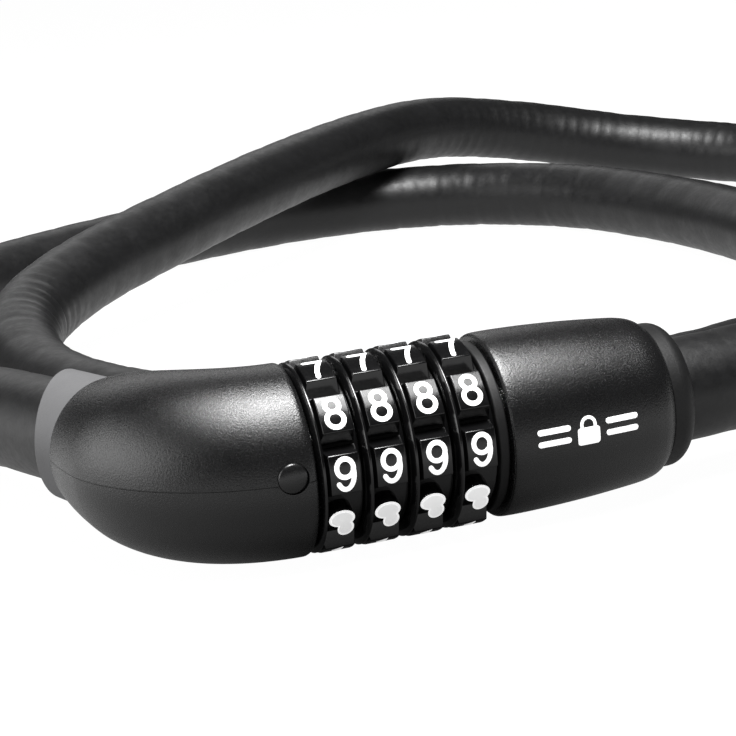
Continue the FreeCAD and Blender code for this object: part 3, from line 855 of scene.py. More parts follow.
    def build(self, dresser: Dresser, finishes: Finishes) -> None:
        """Build and dress the elbow's pieces."""
        upper, lower = self.build_shells()
        housing = finishes["housing_plastic"]
        dresser.piece(upper, housing, Body.LOCK.value, ["elbow_shell_upper"])
        dresser.piece(lower, housing, Body.LOCK.value, ["elbow_shell_lower"])
        dresser.piece(
            self.build_pin(), finishes["blackened_pin"], Body.LOCK.value, ["elbow_pin"]
        )
        dresser.piece(
            self.build_collar(), finishes["collar_plastic"], Body.LOCK.value,
            ["elbow_collar"]
        )


# ---- dials --------------------------------------------------------------------------------
def arc(x: float, y: float, wide: float, tall: float, start: float, end: float) -> list[tuple[float, float]]:
    """Return points on part of an ellipse, between two angles in degrees."""
    count = max(int(abs(end - start) / 9), 4)
    angles = [math.radians(start + (end - start) * step / count) for step in range(count + 1)]
    return [(x + wide * math.cos(angle), y + tall * math.sin(angle)) for angle in angles]


def digit_strokes(number: int) -> list[tuple[list[tuple[float, float]], bool]]:
    """Return a number's strokes in a box from -1 to 1, each with whether it is a closed loop."""
    nine = [(arc(0, 0.40, 1.0, 0.60, 0, 351), True), (arc(-0.06, 0.02, 1.06, 1.02, 16, -142), False)]
    return {
        1: [([(-0.5, 0.55), (0.15, 1.0), (0.15, -1.0)], False)],
        2: [(arc(0, 0.42, 0.95, 0.58, 165, -38) + [(-0.95, -1.0), (1.0, -1.0)], False)],
        3: [
            (arc(-0.05, 0.50, 0.88, 0.50, 150, -90), False),
            (arc(-0.05, -0.47, 1.0, 0.53, 90, -150), False)
        ],
        4: [([(0.45, -1.0), (0.45, 1.0), (-1.0, -0.4), (1.0, -0.4)], False)],
        5: [([(0.8, 1.0), (-0.65, 1.0), (-0.85, 0.08)] + arc(-0.02, -0.35, 1.0, 0.65, 132, -145), False)],
        6: [([(-x, -y) for x, y in points], closed) for points, closed in nine],
        7: [([(-0.95, 1.0), (0.95, 1.0), (0.3, 0.2), (-0.05, -0.45), (-0.2, -1.0)], False)],
        8: [(arc(0, 0.53, 0.82, 0.47, 0, 351), True), (arc(0, -0.46, 1.0, 0.54, 0, 351), True)],
        9: nine,
    }[number]


@dataclass
class DialPack:
    """The four number dials with their painted numbers and markers, and the ring that keeps them."""

    place: Place
    digits: int = 10
    rest: float = math.radians(3.6)
    gap: float = 0.2 * MM
    bore_r: float = 8.65 * MM
    floor_r: float = 11.4 * MM
    face_r: float = 13.3 * MM
    rim_r: float = 13.4 * MM
    side_r: float = 12.6 * MM
    rim_start: float = 0.5 * MM
    rim_end: float = 0.8 * MM
    rim_foot: float = 1.2 * MM
    margin: float = 0.75 * MM
    face_w: float = 4.2 * MM
    face_h: float = 5.4 * MM
    lean: float = math.tan(math.radians(15.0))
    block_bevel: float = 0.13 * MM
    digit_w: float = 3.0 * MM
    digit_h: float = 4.85 * MM
    stroke: float = 0.68 * MM
    paint: float = 0.03 * MM
    boss_below: float = math.radians(28.85)
    front_digit: int = 9
    retainer_r: float = 12.2 * MM
    retainer_w: float = 1.5 * MM
    retainer_hole_r: float = 5.6 * MM

    @property
    def half(self) -> float:
        """Return half a dial's width."""
        return (self.place.pitch - self.gap) / 2

    def middles(self) -> list[float]:
        """Return the dials' middles along the axis."""
        return [self.place.pitch * (step - 1.5) for step in range(4)]

    def turned(self, step: int) -> Matrix:
        """Return the turn about the barrel's axis that takes the front to a number's place."""
        angle = -(math.tau / self.digits * step + self.rest)
        centre = Matrix.Translation(self.place.middle)
        return centre @ Matrix.Rotation(angle, 4, "X") @ centre.inverted()

    def _ring(self) -> bpy.types.Object:
        """Return the dial's ring with its sloping left side and its rim."""
        left, right = -self.half, self.half
        profile = [
            (left, self.bore_r), (left, self.side_r), (left + self.rim_start, self.rim_r),
            (left + self.rim_end, self.rim_r), (left + self.rim_foot, self.floor_r),
            (right, self.floor_r), (right, self.bore_r),
        ]
        bm = bmesh.new()
        lathe(bm, profile, self.place.middle, ALONG, 160)
        round_corners(bm, self.place.middle, ALONG, profile[1:4], 0.07 * MM, 2)
        return to_object(bm, "dial_ring")

    def _block(self, bm: bmesh.types.BMesh, step: int) -> None:
        """Add one raised number block with leaning sides and bevelled edges."""
        base_r = self.floor_r - 0.5 * MM
        height = self.face_r - base_r
        right = self.half - self.margin
        middle_x = right - self.face_w / 2
        block = bmesh.new()
        bmesh.ops.create_cube(block, size=1.0)
        spread = height * self.lean
        for vert in block.verts:
            out = vert.co.y < 0
            grow = 0.0 if out else spread
            vert.co = self.place.at(
                middle_x + math.copysign(
                    self.face_w / 2 + grow * (0.5 if vert.co.x > 0 else 1.0), vert.co.x
                ),
                -(self.face_r if out else base_r),
                math.copysign(self.face_h / 2 + grow, vert.co.z),
            )
        front = min(vert.co.y for vert in block.verts)
        edges = [edge for edge in block.edges if any(abs(vert.co.y - front) < 1e-6 for vert in edge.verts)]
        bevel(block, edges, self.block_bevel, 3)
        slice_flat(block, (UP,), 0.5 * MM)
        for vert in block.verts:
            vert.co.y -= self._crown(vert.co.z - self.place.middle.z) * (
                vert.co.y < front + self.block_bevel
            )
        bmesh.ops.transform(block, matrix=self.turned(step), verts=block.verts[:])
        pour(block, bm)

    def build_dial(self) -> bpy.types.Object:
        """Return a dial at the dial pack's middle."""
        ring = self._ring()
        bm = bmesh.new()
        for step in range(self.digits - 1):
            self._block(bm, step)
        depth = self.face_r - self.floor_r + 0.5 * MM
        self._raise(bm, self._blob(0.0), self._boss_place(), -depth, 0.0)
        combine(ring, to_object(bm, "blocks"), "UNION")
        return ring

    def _crown(self, height: float) -> float:
        """Return how far a number's rounded face stands out of its flat one."""
        return 0.9 * (
            math.sqrt(self.face_r**2 - height**2) - math.sqrt(self.face_r**2 - (self.face_h / 2) ** 2)
        )

    def _face_place(self, step: int) -> Matrix:
        """Return what takes a flat drawing, in x and y, onto a number's face."""
        middle_x = self.half - self.margin - self.face_w / 2
        stand = Matrix.Rotation(math.radians(90), 4, "X")
        return self.turned(step) @ Matrix.Translation(self.place.at(middle_x, -self.face_r)) @ stand

    def _boss_place(self) -> Matrix:
        """Return what takes a flat drawing onto the mark for nought, under the front row of numbers."""
        centre = Matrix.Translation(self.place.middle)
        turn = centre @ Matrix.Rotation(self.boss_below, 4, "X") @ centre.inverted()
        stand = Matrix.Rotation(math.radians(90), 4, "X")
        return turn @ Matrix.Translation(self.place.at(0.0, -self.face_r)) @ stand

    def _raise(
        self, bm: bmesh.types.BMesh, flat: bmesh.types.BMesh, place: Matrix, low: float, high: float
    ) -> None:
        """Make a flat drawing solid and rounded like a number's face, put it on a dial and add it to a mesh.

        Args:
            bm: The mesh to add to.
            flat: The drawing.
            place: What takes it onto the dial.
            low: Where the solid starts, from the drawing's plane.
            high: Where it ends.
        """
        flipped = [face for face in flat.faces if face.normal.z < 0]
        bmesh.ops.reverse_faces(flat, faces=flipped)
        slice_flat(flat, (ACROSS,), 0.6 * MM)
        for vert in flat.verts:
            vert.co.z = low + self._crown(vert.co.y)
        grown = bmesh.ops.extrude_face_region(flat, geom=flat.faces[:])
        tops = [item for item in grown["geom"] if isinstance(item, bmesh.types.BMVert)]
        bmesh.ops.translate(flat, vec=Vector((0, 0, high - low)), verts=tops)
        bmesh.ops.recalc_face_normals(flat, faces=flat.faces[:])
        bmesh.ops.transform(flat, matrix=place, verts=flat.verts[:])
        pour(flat, bm)

    def _digit(self, number: int) -> bmesh.types.BMesh:
        """Return a number as flat strokes about the origin."""
        flat = bmesh.new()
        reach = Vector(((self.digit_w - self.stroke) / 2, (self.digit_h - self.stroke) / 2))
        for points, closed in digit_strokes(number):
            self._ribbon(flat, [Vector((x * reach.x, y * reach.y, 0)) for x, y in points], closed)
        return flat

    def _ribbon(self, flat: bmesh.types.BMesh, points: Sequence[Vector], closed: bool) -> None:
        """Add a flat stroke along a line, with round ends if it is open."""
        half = self.stroke / 2
        last = len(points) - 1
        left, right = [], []
        for index, point in enumerate(points):
            before = points[index - 1] if closed or index > 0 else point
            after = points[(index + 1) % len(points)] if closed or index < last else point
            steps = [step.normalized() for step in (point - before, after - point) if step.length > 1e-9]
            normals = [Vector((-step.y, step.x, 0)) for step in steps]
            middle = sum(normals, Vector()).normalized()
            mitre = min(1 / max(middle.dot(normals[0]), 0.3), 2.2)
            left.append(flat.verts.new(point + middle * half * mitre))
            right.append(flat.verts.new(point - middle * half * mitre))
        pairs = list(zip(range(last), range(1, last + 1))) + ([(last, 0)] if closed else [])
        for a, b in pairs:
            flat.faces.new((right[a], right[b], left[b], left[a]))
        if not closed:
            for start, end, centre in (
                (left[0], right[0], points[0]), (right[last], left[last], points[last])
            ):
                arm = start.co - centre
                fan = [
                    flat.verts.new(centre + Matrix.Rotation(math.pi * step / 8, 3, "Z") @ arm)
                    for step in range(1, 8)
                ]
                flat.faces.new((start, *fan, end))

    def _blob(self, shrink: float) -> bmesh.types.BMesh:
        """Return the flat two-lobed marker that stands for nought.

        Args:
            shrink: How far its outline is drawn in.
        """
        heart = Vector((-0.1 * MM, 0.3 * MM))
        lobes = (
            (Vector((-0.45 * MM, 1.0 * MM)), Vector((1.82 * MM, 1.45 * MM))),
            (Vector((0.2 * MM, -0.9 * MM)), Vector((1.15 * MM, 1.5 * MM))),
        )
        flat = bmesh.new()
        made = bmesh.ops.create_circle(flat, cap_ends=True, segments=72, radius=1.0)
        for vert in made["verts"]:
            way = vert.co.to_2d().normalized()
            reach = max(self._reach(heart, way, lobe) for lobe in lobes)
            vert.co = (heart + way * (reach - shrink)).to_3d()
        return flat

    def _reach(self, start: Vector, way: Vector, lobe: tuple[Vector, Vector]) -> float:
        """Return how far a ray goes until it leaves an ellipse that it starts in."""
        centre, radii = lobe
        offset = start - centre
        spot = Vector((offset.x / radii.x, offset.y / radii.y))
        step = Vector((way.x / radii.x, way.y / radii.y))
        b, c = spot.dot(step), spot.dot(spot) - 1
        return (-b + math.sqrt(max(b * b - step.dot(step) * c, 0.0))) / step.dot(step)

    def build_numbers(self) -> tuple[bpy.types.Object, bpy.types.Object]:
        """Return the painted numbers with the marker's rim, and the marker's filling."""
        paint, fill = bmesh.new(), bmesh.new()
        for step in range(self.digits - 1):
            number = self.front_digit - step
            self._raise(paint, self._digit(number), self._face_place(step), 0.0, self.paint)
        self._raise(paint, self._blob(0.0), self._boss_place(), 0.0, self.paint)
        self._raise(fill, self._blob(0.36 * MM), self._boss_place(), 0.0, 2 * self.paint)
        return to_object(paint, "dial_paint"), to_object(fill, "dial_fill")

    def build_retainer(self) -> bpy.types.Object:
        """Return the black ring between the last dial and the plug."""
        start = self.place.pitch * 2 + self.gap / 2
        profile = [
            (start, self.retainer_hole_r), (start, self.retainer_r),
            (start + self.retainer_w, self.retainer_r), (start + self.retainer_w, self.retainer_hole_r),
        ]
        bm = bmesh.new()
        lathe(bm, profile, self.place.middle, ALONG, 120)
        round_corners(bm, self.place.middle, ALONG, profile[1:3], 0.3 * MM, 3)
        ring = to_object(bm, "dial_retaining_ring")
        slot = bmesh.new()
        bmesh.ops.create_cube(slot, size=1.0)
        size = Vector((4 * MM, 2.6 * MM, 7.0 * MM))
        bmesh.ops.scale(slot, vec=size, verts=slot.verts[:])
        bmesh.ops.translate(
            slot, vec=self.place.at(start + self.retainer_w / 2, 0, size.z / 2), verts=slot.verts[:]
        )
        combine(ring, to_object(slot, "key_slot"), "DIFFERENCE")
        return ring

    def build(self, dresser: Dresser, finishes: Finishes) -> None:
        """Build and dress the dials, their paint and the retaining ring."""
        dial = self.build_dial()
        paint, fill = self.build_numbers()
        for index, middle in enumerate(self.middles(), 1):
            shift = ALONG * middle
            body = f"dial_{index}"
            dresser.piece(
                copy_of(dial, f"number_dial_{index}", shift), finishes["dial_plastic"],
                body, [body]
            )
            dresser.piece(
                copy_of(paint, f"dial_{index}_numbers", shift), finishes["number_paint"],
                body
            )
            dresser.piece(
                copy_of(fill, f"dial_{index}_marker", shift), finishes["marker_paint"], body
            )
        for spare in (dial, paint, fill):
            bpy.data.meshes.remove(spare.data)
        dresser.piece(
            self.build_retainer(), finishes["retainer_plastic"], Body.LOCK.value,
            ["dial_retainer"]
        )


# ---- plug ---------------------------------------------------------------------------------
@dataclass
class Plug:
    """The plug's shell with its printed sign, and the collar that the cable leaves it through."""

    place: Place
    face_r: float = 12.9 * MM
    max_r: float = 13.3 * MM
    neck_r: float = 12.3 * MM
    end_r: float = 10.8 * MM
    bore_r: float = 9.4 * MM
    front_wall: float = 3.4 * MM
    front_hole_r: float = 7.7 * MM
    collar_r: float = 10.6 * MM
    collar_len: float = 4.1 * MM
    collar_round: float = 2.4 * MM
    collar_stub: float = 3.0 * MM
    collar_stub_r: float = 9.3 * MM
    cable_hole_r: float = 7.85 * MM
    sign_middle: float = 26.0 * MM
    sign_angle: float = math.radians(3.4)
    sign_lift: float = 0.03 * MM

    def outline(self) -> list[tuple[float, float]]:
        """Return the few points that the shell's outer line passes through."""
        a, b = self.place.plug_start, self.place.plug_end
        return [
            (a, self.face_r), (a + 1.0 * MM, self.max_r), (a + 7.0 * MM, self.max_r - 0.05 * MM),
            (a + 14.0 * MM, self.max_r - 0.4 * MM), (b - 4.5 * MM, self.neck_r),
            (b - 2.2 * MM, self.neck_r - 0.35 * MM), (b - 0.9 * MM, self.neck_r - 0.8 * MM), (b, self.end_r),
        ]

    def outer_line(self, steps: int = 8) -> list[tuple[float, float]]:
        """Return the shell's outer line, drawn smoothly through its points.

        Args:
            steps: How many steps each stretch between two points takes.
        """
        points = [Vector(point) for point in self.outline()]
        points = [2 * points[0] - points[1]] + points + [2 * points[-1] - points[-2]]
        line = []
        for p0, p1, p2, p3 in zip(points, points[1:], points[2:], points[3:]):
            for step in range(steps):
                t = step / steps
                square = 2 * p0 - 5 * p1 + 4 * p2 - p3
                cube = 3 * p1 - p0 - 3 * p2 + p3
                spot = 0.5 * (2 * p1 + (p2 - p0) * t + square * t**2 + cube * t**3)
                line.append((spot.x, spot.y))
        line.append(tuple(points[-2]))
        return line

    def radius(self, along: float) -> float:
        """Return the shell's outer radius at a distance along the axis."""
        line = self.outer_line()
        for (x0, r0), (x1, r1) in zip(line, line[1:]):
            if x0 <= along <= x1:
                return r0 + (r1 - r0) * (along - x0) / (x1 - x0)
        return line[-1][1]

    def build_shell(self) -> bpy.types.Object:
        """Return the barrel-shaped shell."""
        a, b = self.place.plug_start, self.place.plug_end
        inner = [
            (b, self.bore_r), (a + self.front_wall, self.bore_r), (a + self.front_wall, self.front_hole_r),
            (a, self.front_hole_r),
        ]
        bm = bmesh.new()
        lathe(bm, self.outer_line() + inner, self.place.middle, ALONG, 160)
        round_corners(bm, self.place.middle, ALONG, [(a, self.face_r), (b, self.end_r)], 0.22 * MM, 3)
        return to_object(bm, "plug_housing")

    def build_collar(self) -> bpy.types.Object:
        """Return the end collar, rounded at the cable."""
        b = self.place.plug_end
        stop = b + self.collar_len
        profile = [
            (b - self.collar_stub, self.cable_hole_r), (stop - 0.3 * MM, self.cable_hole_r),
            (stop, self.cable_hole_r + 0.25 * MM),
        ]
        for step in range(9):
            quarter = math.radians(90 * step / 8)
            profile.append(
                (stop - self.collar_round * (1 - math.cos(quarter)),
                 self.collar_r - self.collar_round * (1 - math.sin(quarter)))
            )
        start = b + 0.1 * MM
        profile += [
            (start + 0.12 * MM, self.collar_r), (start, self.collar_r - 0.12 * MM),
            (start, self.collar_stub_r), (b - self.collar_stub, self.collar_stub_r),
        ]
        bm = bmesh.new()
        lathe(bm, profile, self.place.middle, ALONG, 120)
        return to_object(bm, "plug_cable_collar")

    def _wrap(self, flat: bmesh.types.BMesh) -> None:
        """Wrap a flat drawing, x along the barrel and y up, round the shell."""
        for vert in flat.verts:
            along = self.sign_middle + vert.co.x
            radius = self.radius(along) + self.sign_lift
            angle = self.sign_angle + vert.co.y / radius
            vert.co = self.place.at(along, -radius * math.cos(angle), radius * math.sin(angle))

    def _pill(self, bm: bmesh.types.BMesh, middle: Vector, length: float, height: float) -> None:
        """Add a flat bar with round ends."""
        made = bmesh.ops.create_circle(bm, cap_ends=True, segments=32, radius=height / 2)
        stretch = (length - height) / 2
        for vert in made["verts"]:
            vert.co.x += math.copysign(stretch, vert.co.x) if abs(vert.co.x) > 1e-9 else stretch
        bmesh.ops.translate(bm, vec=middle, verts=made["verts"])

    def _padlock(self, bm: bmesh.types.BMesh) -> None:
        """Add a plain closed padlock: a square body under an arch."""
        body = bmesh.ops.create_grid(bm, x_segments=1, y_segments=1, size=0.5)
        bmesh.ops.scale(bm, vec=Vector((3.4 * MM, 2.5 * MM, 1)), verts=body["verts"])
        bmesh.ops.translate(bm, vec=Vector((0, -0.85 * MM, 0)), verts=body["verts"])
        bmesh.ops.bevel(
            bm, geom=body["verts"], offset=0.45 * MM, segments=4, profile=0.5, affect="VERTICES", material=-1
        )
        arch = bmesh.new()
        outer = add_ring(arch, (Vector((0, 0.75 * MM, 0)), UP, 1.25 * MM), 40, ALONG)
        inner = add_ring(arch, (Vector((0, 0.75 * MM, 0)), UP, 0.78 * MM), 40, ALONG)
        join_rings(arch, outer, inner)
        bmesh.ops.bisect_plane(
            arch, geom=arch.verts[:] + arch.edges[:] + arch.faces[:], plane_co=Vector((0, 0.75 * MM, 0)),
            plane_no=ACROSS, clear_inner=True, dist=1e-7,
        )
        feet = [edge for edge in arch.edges if all(abs(vert.co.y - 0.75 * MM) < 1e-6 for vert in edge.verts)]
        grown = bmesh.ops.extrude_edge_only(arch, edges=feet)
        ends = [item for item in grown["geom"] if isinstance(item, bmesh.types.BMVert)]
        bmesh.ops.translate(arch, vec=Vector((0, -0.36 * MM, 0)), verts=ends)
        pour(arch, bm)

    def build_sign(self) -> bpy.types.Object:
        """Return the printed sign: a padlock between two pairs of bars."""
        bm = bmesh.new()
        self._padlock(bm)
        for side in (-1, 1):
            self._pill(bm, Vector((side * 5.2 * MM, 0.75 * MM, 0)), 5.0 * MM, 0.85 * MM)
            self._pill(bm, Vector((side * 5.2 * MM, -0.95 * MM, 0)), 5.0 * MM, 0.85 * MM)
        slice_flat(bm, (ALONG, ACROSS), 0.45 * MM)
        flipped = [face for face in bm.faces if face.normal.z < 0]
        bmesh.ops.reverse_faces(bm, faces=flipped)
        self._wrap(bm)
        bm.normal_update()
        bmesh.ops.solidify(bm, geom=bm.faces[:], thickness=self.sign_lift * 1.5)
        bmesh.ops.recalc_face_normals(bm, faces=bm.faces[:])
        return to_object(bm, "plug_printed_sign")

    def build(self, dresser: Dresser, finishes: Finishes) -> None:
        """Build and dress the plug's outer pieces."""
        plug = Body.PLUG.value
        dresser.piece(
            self.build_shell(), finishes["housing_plastic"], plug, ["plug_shell"]
        )
        dresser.piece(
            self.build_collar(), finishes["retainer_plastic"], plug, ["plug_end_collar"]
        )
        dresser.piece(self.build_sign(), finishes["number_paint"], plug)


# ---- cable --------------------------------------------------------------------------------
@dataclass
class Cable:
    """The armoured cable: its sheath, the steel sleeves under it and the rope in the middle."""

    place: Place
    elbow: Elbow
    radius: float = 7.7 * MM
    wall: float = 1.8 * MM
    lead: float = 16.5 * MM
    elbow_lead: float = 34.0 * MM
    end_inset: float = 3.0 * MM
    length: float = 1.25
    sleeve_pitch: float = 10.4 * MM
    sleeve_len: float = 9.2 * MM
    sleeve_r: float = 5.4 * MM
    sleeve_hole_r: float = 3.5 * MM
    rope_r: float = 2.7 * MM
    rope_sides: int = 24
    rope_lay: float = 42 * MM
    ferrule_len: float = 9.0 * MM
    groove_depth: float = 0.10 * MM
    crease_depth: float = 0.26 * MM
    crease_pitch: float = 3.5 * MM
    sides: int = 40
    line: list[Vector] = field(default_factory=list)
    passed: list[float] = field(default_factory=list)
    bends: list[Vector] = field(default_factory=list)

    def route(self) -> list[Vector]:
        """Return the cable's route: round the back, behind the lock, and round again to the plug."""
        mouth, direction = self.elbow.mouth()
        last = self.place.at(self.place.plug_end - self.end_inset)
        lie = self.radius
        over = 0.0235
        free = [
            (-0.062, 0.089, lie), (-0.067, 0.125, lie), (-0.057, 0.160, lie),
            (-0.030, 0.188, lie), (0.006, 0.208, lie), (0.046, 0.221, lie), (0.084, 0.216, lie),
            (0.110, 0.192, lie), (0.122, 0.157, lie), (0.126, 0.118, lie), (0.121, 0.077, lie),
            (0.101, 0.041, lie), (0.067, 0.0225, lie), (0.030, 0.0215, lie), (-0.002, 0.031, lie),
            (-0.025, 0.054, lie), (-0.037, 0.084, 0.0085), (-0.036, 0.112, 0.012), (-0.020, 0.135, 0.016),
            (0.003, 0.155, 0.019), (0.030, 0.179, 0.022), (0.058, 0.204, over), (0.088, 0.2275, over),
            (0.117, 0.235, 0.018), (0.146, 0.2285, 0.011), (0.170, 0.210, lie), (0.183, 0.182, lie),
            (0.186, 0.150, lie), (0.181, 0.112, lie), (0.166, 0.076, lie), (0.141, 0.045, lie),
            (0.114, 0.0225, 0.010), (0.085, 0.0095, 0.0136),
        ]
        return (
            [mouth, mouth + direction * self.elbow_lead]
            + [self.place.on_table(*point) for point in free]
            + [last + ALONG * self.lead, last]
        )

    def read_line(self) -> None:
        """Read the smooth line of the route's spline, with its length so far and its bend at each point."""
        curve = bpy.data.curves.new("cable_route", "CURVE")
        curve.dimensions = "3D"
        curve.resolution_u = 26
        spline = curve.splines.new("NURBS")
        points = self.route()
        spline.points.add(len(points) - 1)
        for point, spot in zip(spline.points, points):
            point.co = (*spot, 1.0)
        spline.order_u = 3
        spline.use_endpoint_u = True
        holder = bpy.data.objects.new("cable_route", curve)
        mesh = bpy.data.meshes.new_from_object(holder)
        self.line = [vert.co.copy() for vert in mesh.vertices]
        bpy.data.objects.remove(holder)
        bpy.data.curves.remove(curve)
        bpy.data.meshes.remove(mesh)
        self.passed = [0.0]
        for before, after in zip(self.line, self.line[1:]):
            self.passed.append(self.passed[-1] + (after - before).length)
        reach = 6
        for index in range(len(self.line)):
            low, high = max(index - reach, 0), min(index + reach, len(self.line) - 1)
            change = self.direction(high) - self.direction(low)
            self.bends.append(change / max(self.passed[high] - self.passed[low], 1e-6))
        LOG.info("cable line: %d points, %.4f m", len(self.line), self.passed[-1])

    def direction(self, index: int) -> Vector:
        """Return the line's direction at one of its points."""
        low, high = max(index - 1, 0), min(index + 1, len(self.line) - 1)
        return (self.line[high] - self.line[low]).normalized()

    def _swell(self, index: int, outwards: Vector) -> float:
        """Return how far the sheath stands out of its true circle at a point of its skin.

        Args:
            index: The point of the line.
            outwards: The direction from the line to the skin.
        """
        along = self.passed[index]
        inside = min(along, self.passed[-1] - along) / (12 * MM)
        phase = (along % self.sleeve_pitch) / self.sleeve_pitch - 0.5
        groove = -self.groove_depth * math.exp(-((phase / 0.13) ** 2))
        bend = self.bends[index]
        tight = min(max((bend.length - 9.0) / 12.0, 0.0), 1.0)
        side = max(outwards.dot(bend.normalized()) + 0.35, 0.0) if bend.length > 1e-6 else 0.0
        wander = 0.6 * MM * noise.noise(outwards * 3)
        fold = 0.5 - 0.5 * math.cos(math.tau * (along + wander) / self.crease_pitch)
        crease = -self.crease_depth * tight * side * fold**3
        spot = self.line[index] + outwards * self.radius
        lumps = 0.10 * MM * noise.noise(spot * 95) + 0.035 * MM * noise.noise(spot * 260)
        return (groove + crease + lumps) * min(max(inside - 0.6, 0.0), 1.0)

    def _tube(
        self, bm: bmesh.types.BMesh, indices: Sequence[int], radius: float, sides: int, swell: bool
    ) -> list[list[bmesh.types.BMVert]]:
        """Add circles along the line, joined, with the sheath's unevenness if asked.

        Args:
            bm: The mesh to add to.
            indices: The line's points that get a circle.
            radius: The circles' radius.
            sides: How many edges each has.
            swell: Whether the skin is uneven.

        Returns:
            The circles.
        """
        rings = []
        for index in indices:
            ring = add_ring(bm, (self.line[index], self.direction(index), radius), sides)
            if swell:
                for vert in ring:
                    outwards = (vert.co - self.line[index]).normalized()
                    vert.co += outwards * self._swell(index, outwards)
            rings.append(ring)
        for before, after in zip(rings, rings[1:]):
            join_rings(bm, before, after)
        return rings

    def build_sheath(self) -> bpy.types.Object:
        """Return the sheath, a tube with an uneven skin and a smooth bore."""
        bm = bmesh.new()
        last = len(self.line) - 1
        outer = self._tube(bm, range(last + 1), self.radius, self.sides, True)
        coarse = sorted({*range(0, last + 1, 5), last})
        inner = self._tube(bm, coarse, self.radius - self.wall, self.sides, False)
        for a, b in ((outer[0], inner[0]), (outer[-1], inner[-1])):
            join_rings(bm, a, b)
        bmesh.ops.recalc_face_normals(bm, faces=bm.faces[:])
        return to_object(bm, "cable_outer_sheath")

    def build_rope(self) -> bpy.types.Object:
        """Return the steel rope: six strands laid round each other, reaching into both ferrules."""
        bm = bmesh.new()
        last = len(self.line) - 1
        stops = [
            (self.line[i], self.direction(i), self.passed[i]) for i in sorted({*range(0, last, 3), last})
        ]
        start, end = self.line[0], self.line[-1]
        stops.insert(0, (start - self.direction(0) * self.ferrule_len, self.direction(0), -self.ferrule_len))
        ahead = self.direction(last)
        stops.append((end + ahead * self.ferrule_len, ahead, self.passed[-1] + self.ferrule_len))
        rings = []
        for spot, direction, along in stops:
            ring = add_ring(bm, (spot, direction, self.rope_r), self.rope_sides)
            twist = math.tau * along / self.rope_lay
            for step, vert in enumerate(ring):
                strand = abs(math.sin(3 * (math.tau * step / self.rope_sides + twist)))
                vert.co = spot + (vert.co - spot) * (0.86 + 0.14 * strand)
            rings.append(ring)
        for before, after in zip(rings, rings[1:]):
            join_rings(bm, before, after)
        for ring in (rings[0], rings[-1]):
            bm.faces.new(ring)
        bmesh.ops.recalc_face_normals(bm, faces=bm.faces[:])
        return to_object(bm, "cable_steel_rope")

    def _spot(self, along: float) -> tuple[Vector, Vector]:
        """Return the place and direction at a length along the line."""
        index = next(i for i, length in enumerate(self.passed) if length >= along)
        before, after = max(index - 1, 0), index
        share = (along - self.passed[before]) / max(self.passed[after] - self.passed[before], 1e-9)
        return self.line[before].lerp(self.line[after], share), self.direction(index)

    def build_sleeves(self) -> bpy.types.Object:
        """Return the armour sleeves threaded on the rope."""
        bm = bmesh.new()
        count = int((self.passed[-1] - self.sleeve_len) / self.sleeve_pitch)
        margin = (self.passed[-1] - count * self.sleeve_pitch) / 2
        half = self.sleeve_len / 2
        edge = 0.3 * MM
        for step in range(count):
            middle, direction = self._spot(margin + self.sleeve_pitch * (step + 0.5))
            section = [
                (-half, self.sleeve_hole_r), (-half, self.sleeve_r - edge), (-half + edge, self.sleeve_r),
                (half - edge, self.sleeve_r), (half, self.sleeve_r - edge), (half, self.sleeve_hole_r),
            ]
            ring_loft(bm, [(middle + direction * along, direction, radius) for along, radius in section], 16)
        bmesh.ops.recalc_face_normals(bm, faces=bm.faces[:])
        return to_object(bm, "cable_armour_sleeves")

    def build(self, dresser: Dresser, finishes: Finishes) -> None:
        self.read_line()
        parts = [
            (self.build_sheath(), "cable_sheath", "cable_sheath"),
            (self.build_rope(), "plain_steel", "steel_rope"),
            (self.build_sleeves(), "plain_steel", "armour_sleeves"),
        ]
        start = self.place.at(self.place.elbow_face - 10.5 * MM)
        for made, finish, node in parts:
            dresser.piece(made, finishes[finish], None, [node])
            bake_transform(made)


# ---- studio -------------------------------------------------------------------------------
@dataclass(frozen=True)
class Panel:
    """A soft light panel: where it stands from the dial pack's middle, its width and height, its power."""

    name: str
    spot: tuple[float, float, float]
    size: tuple[float, float]
    watts: float


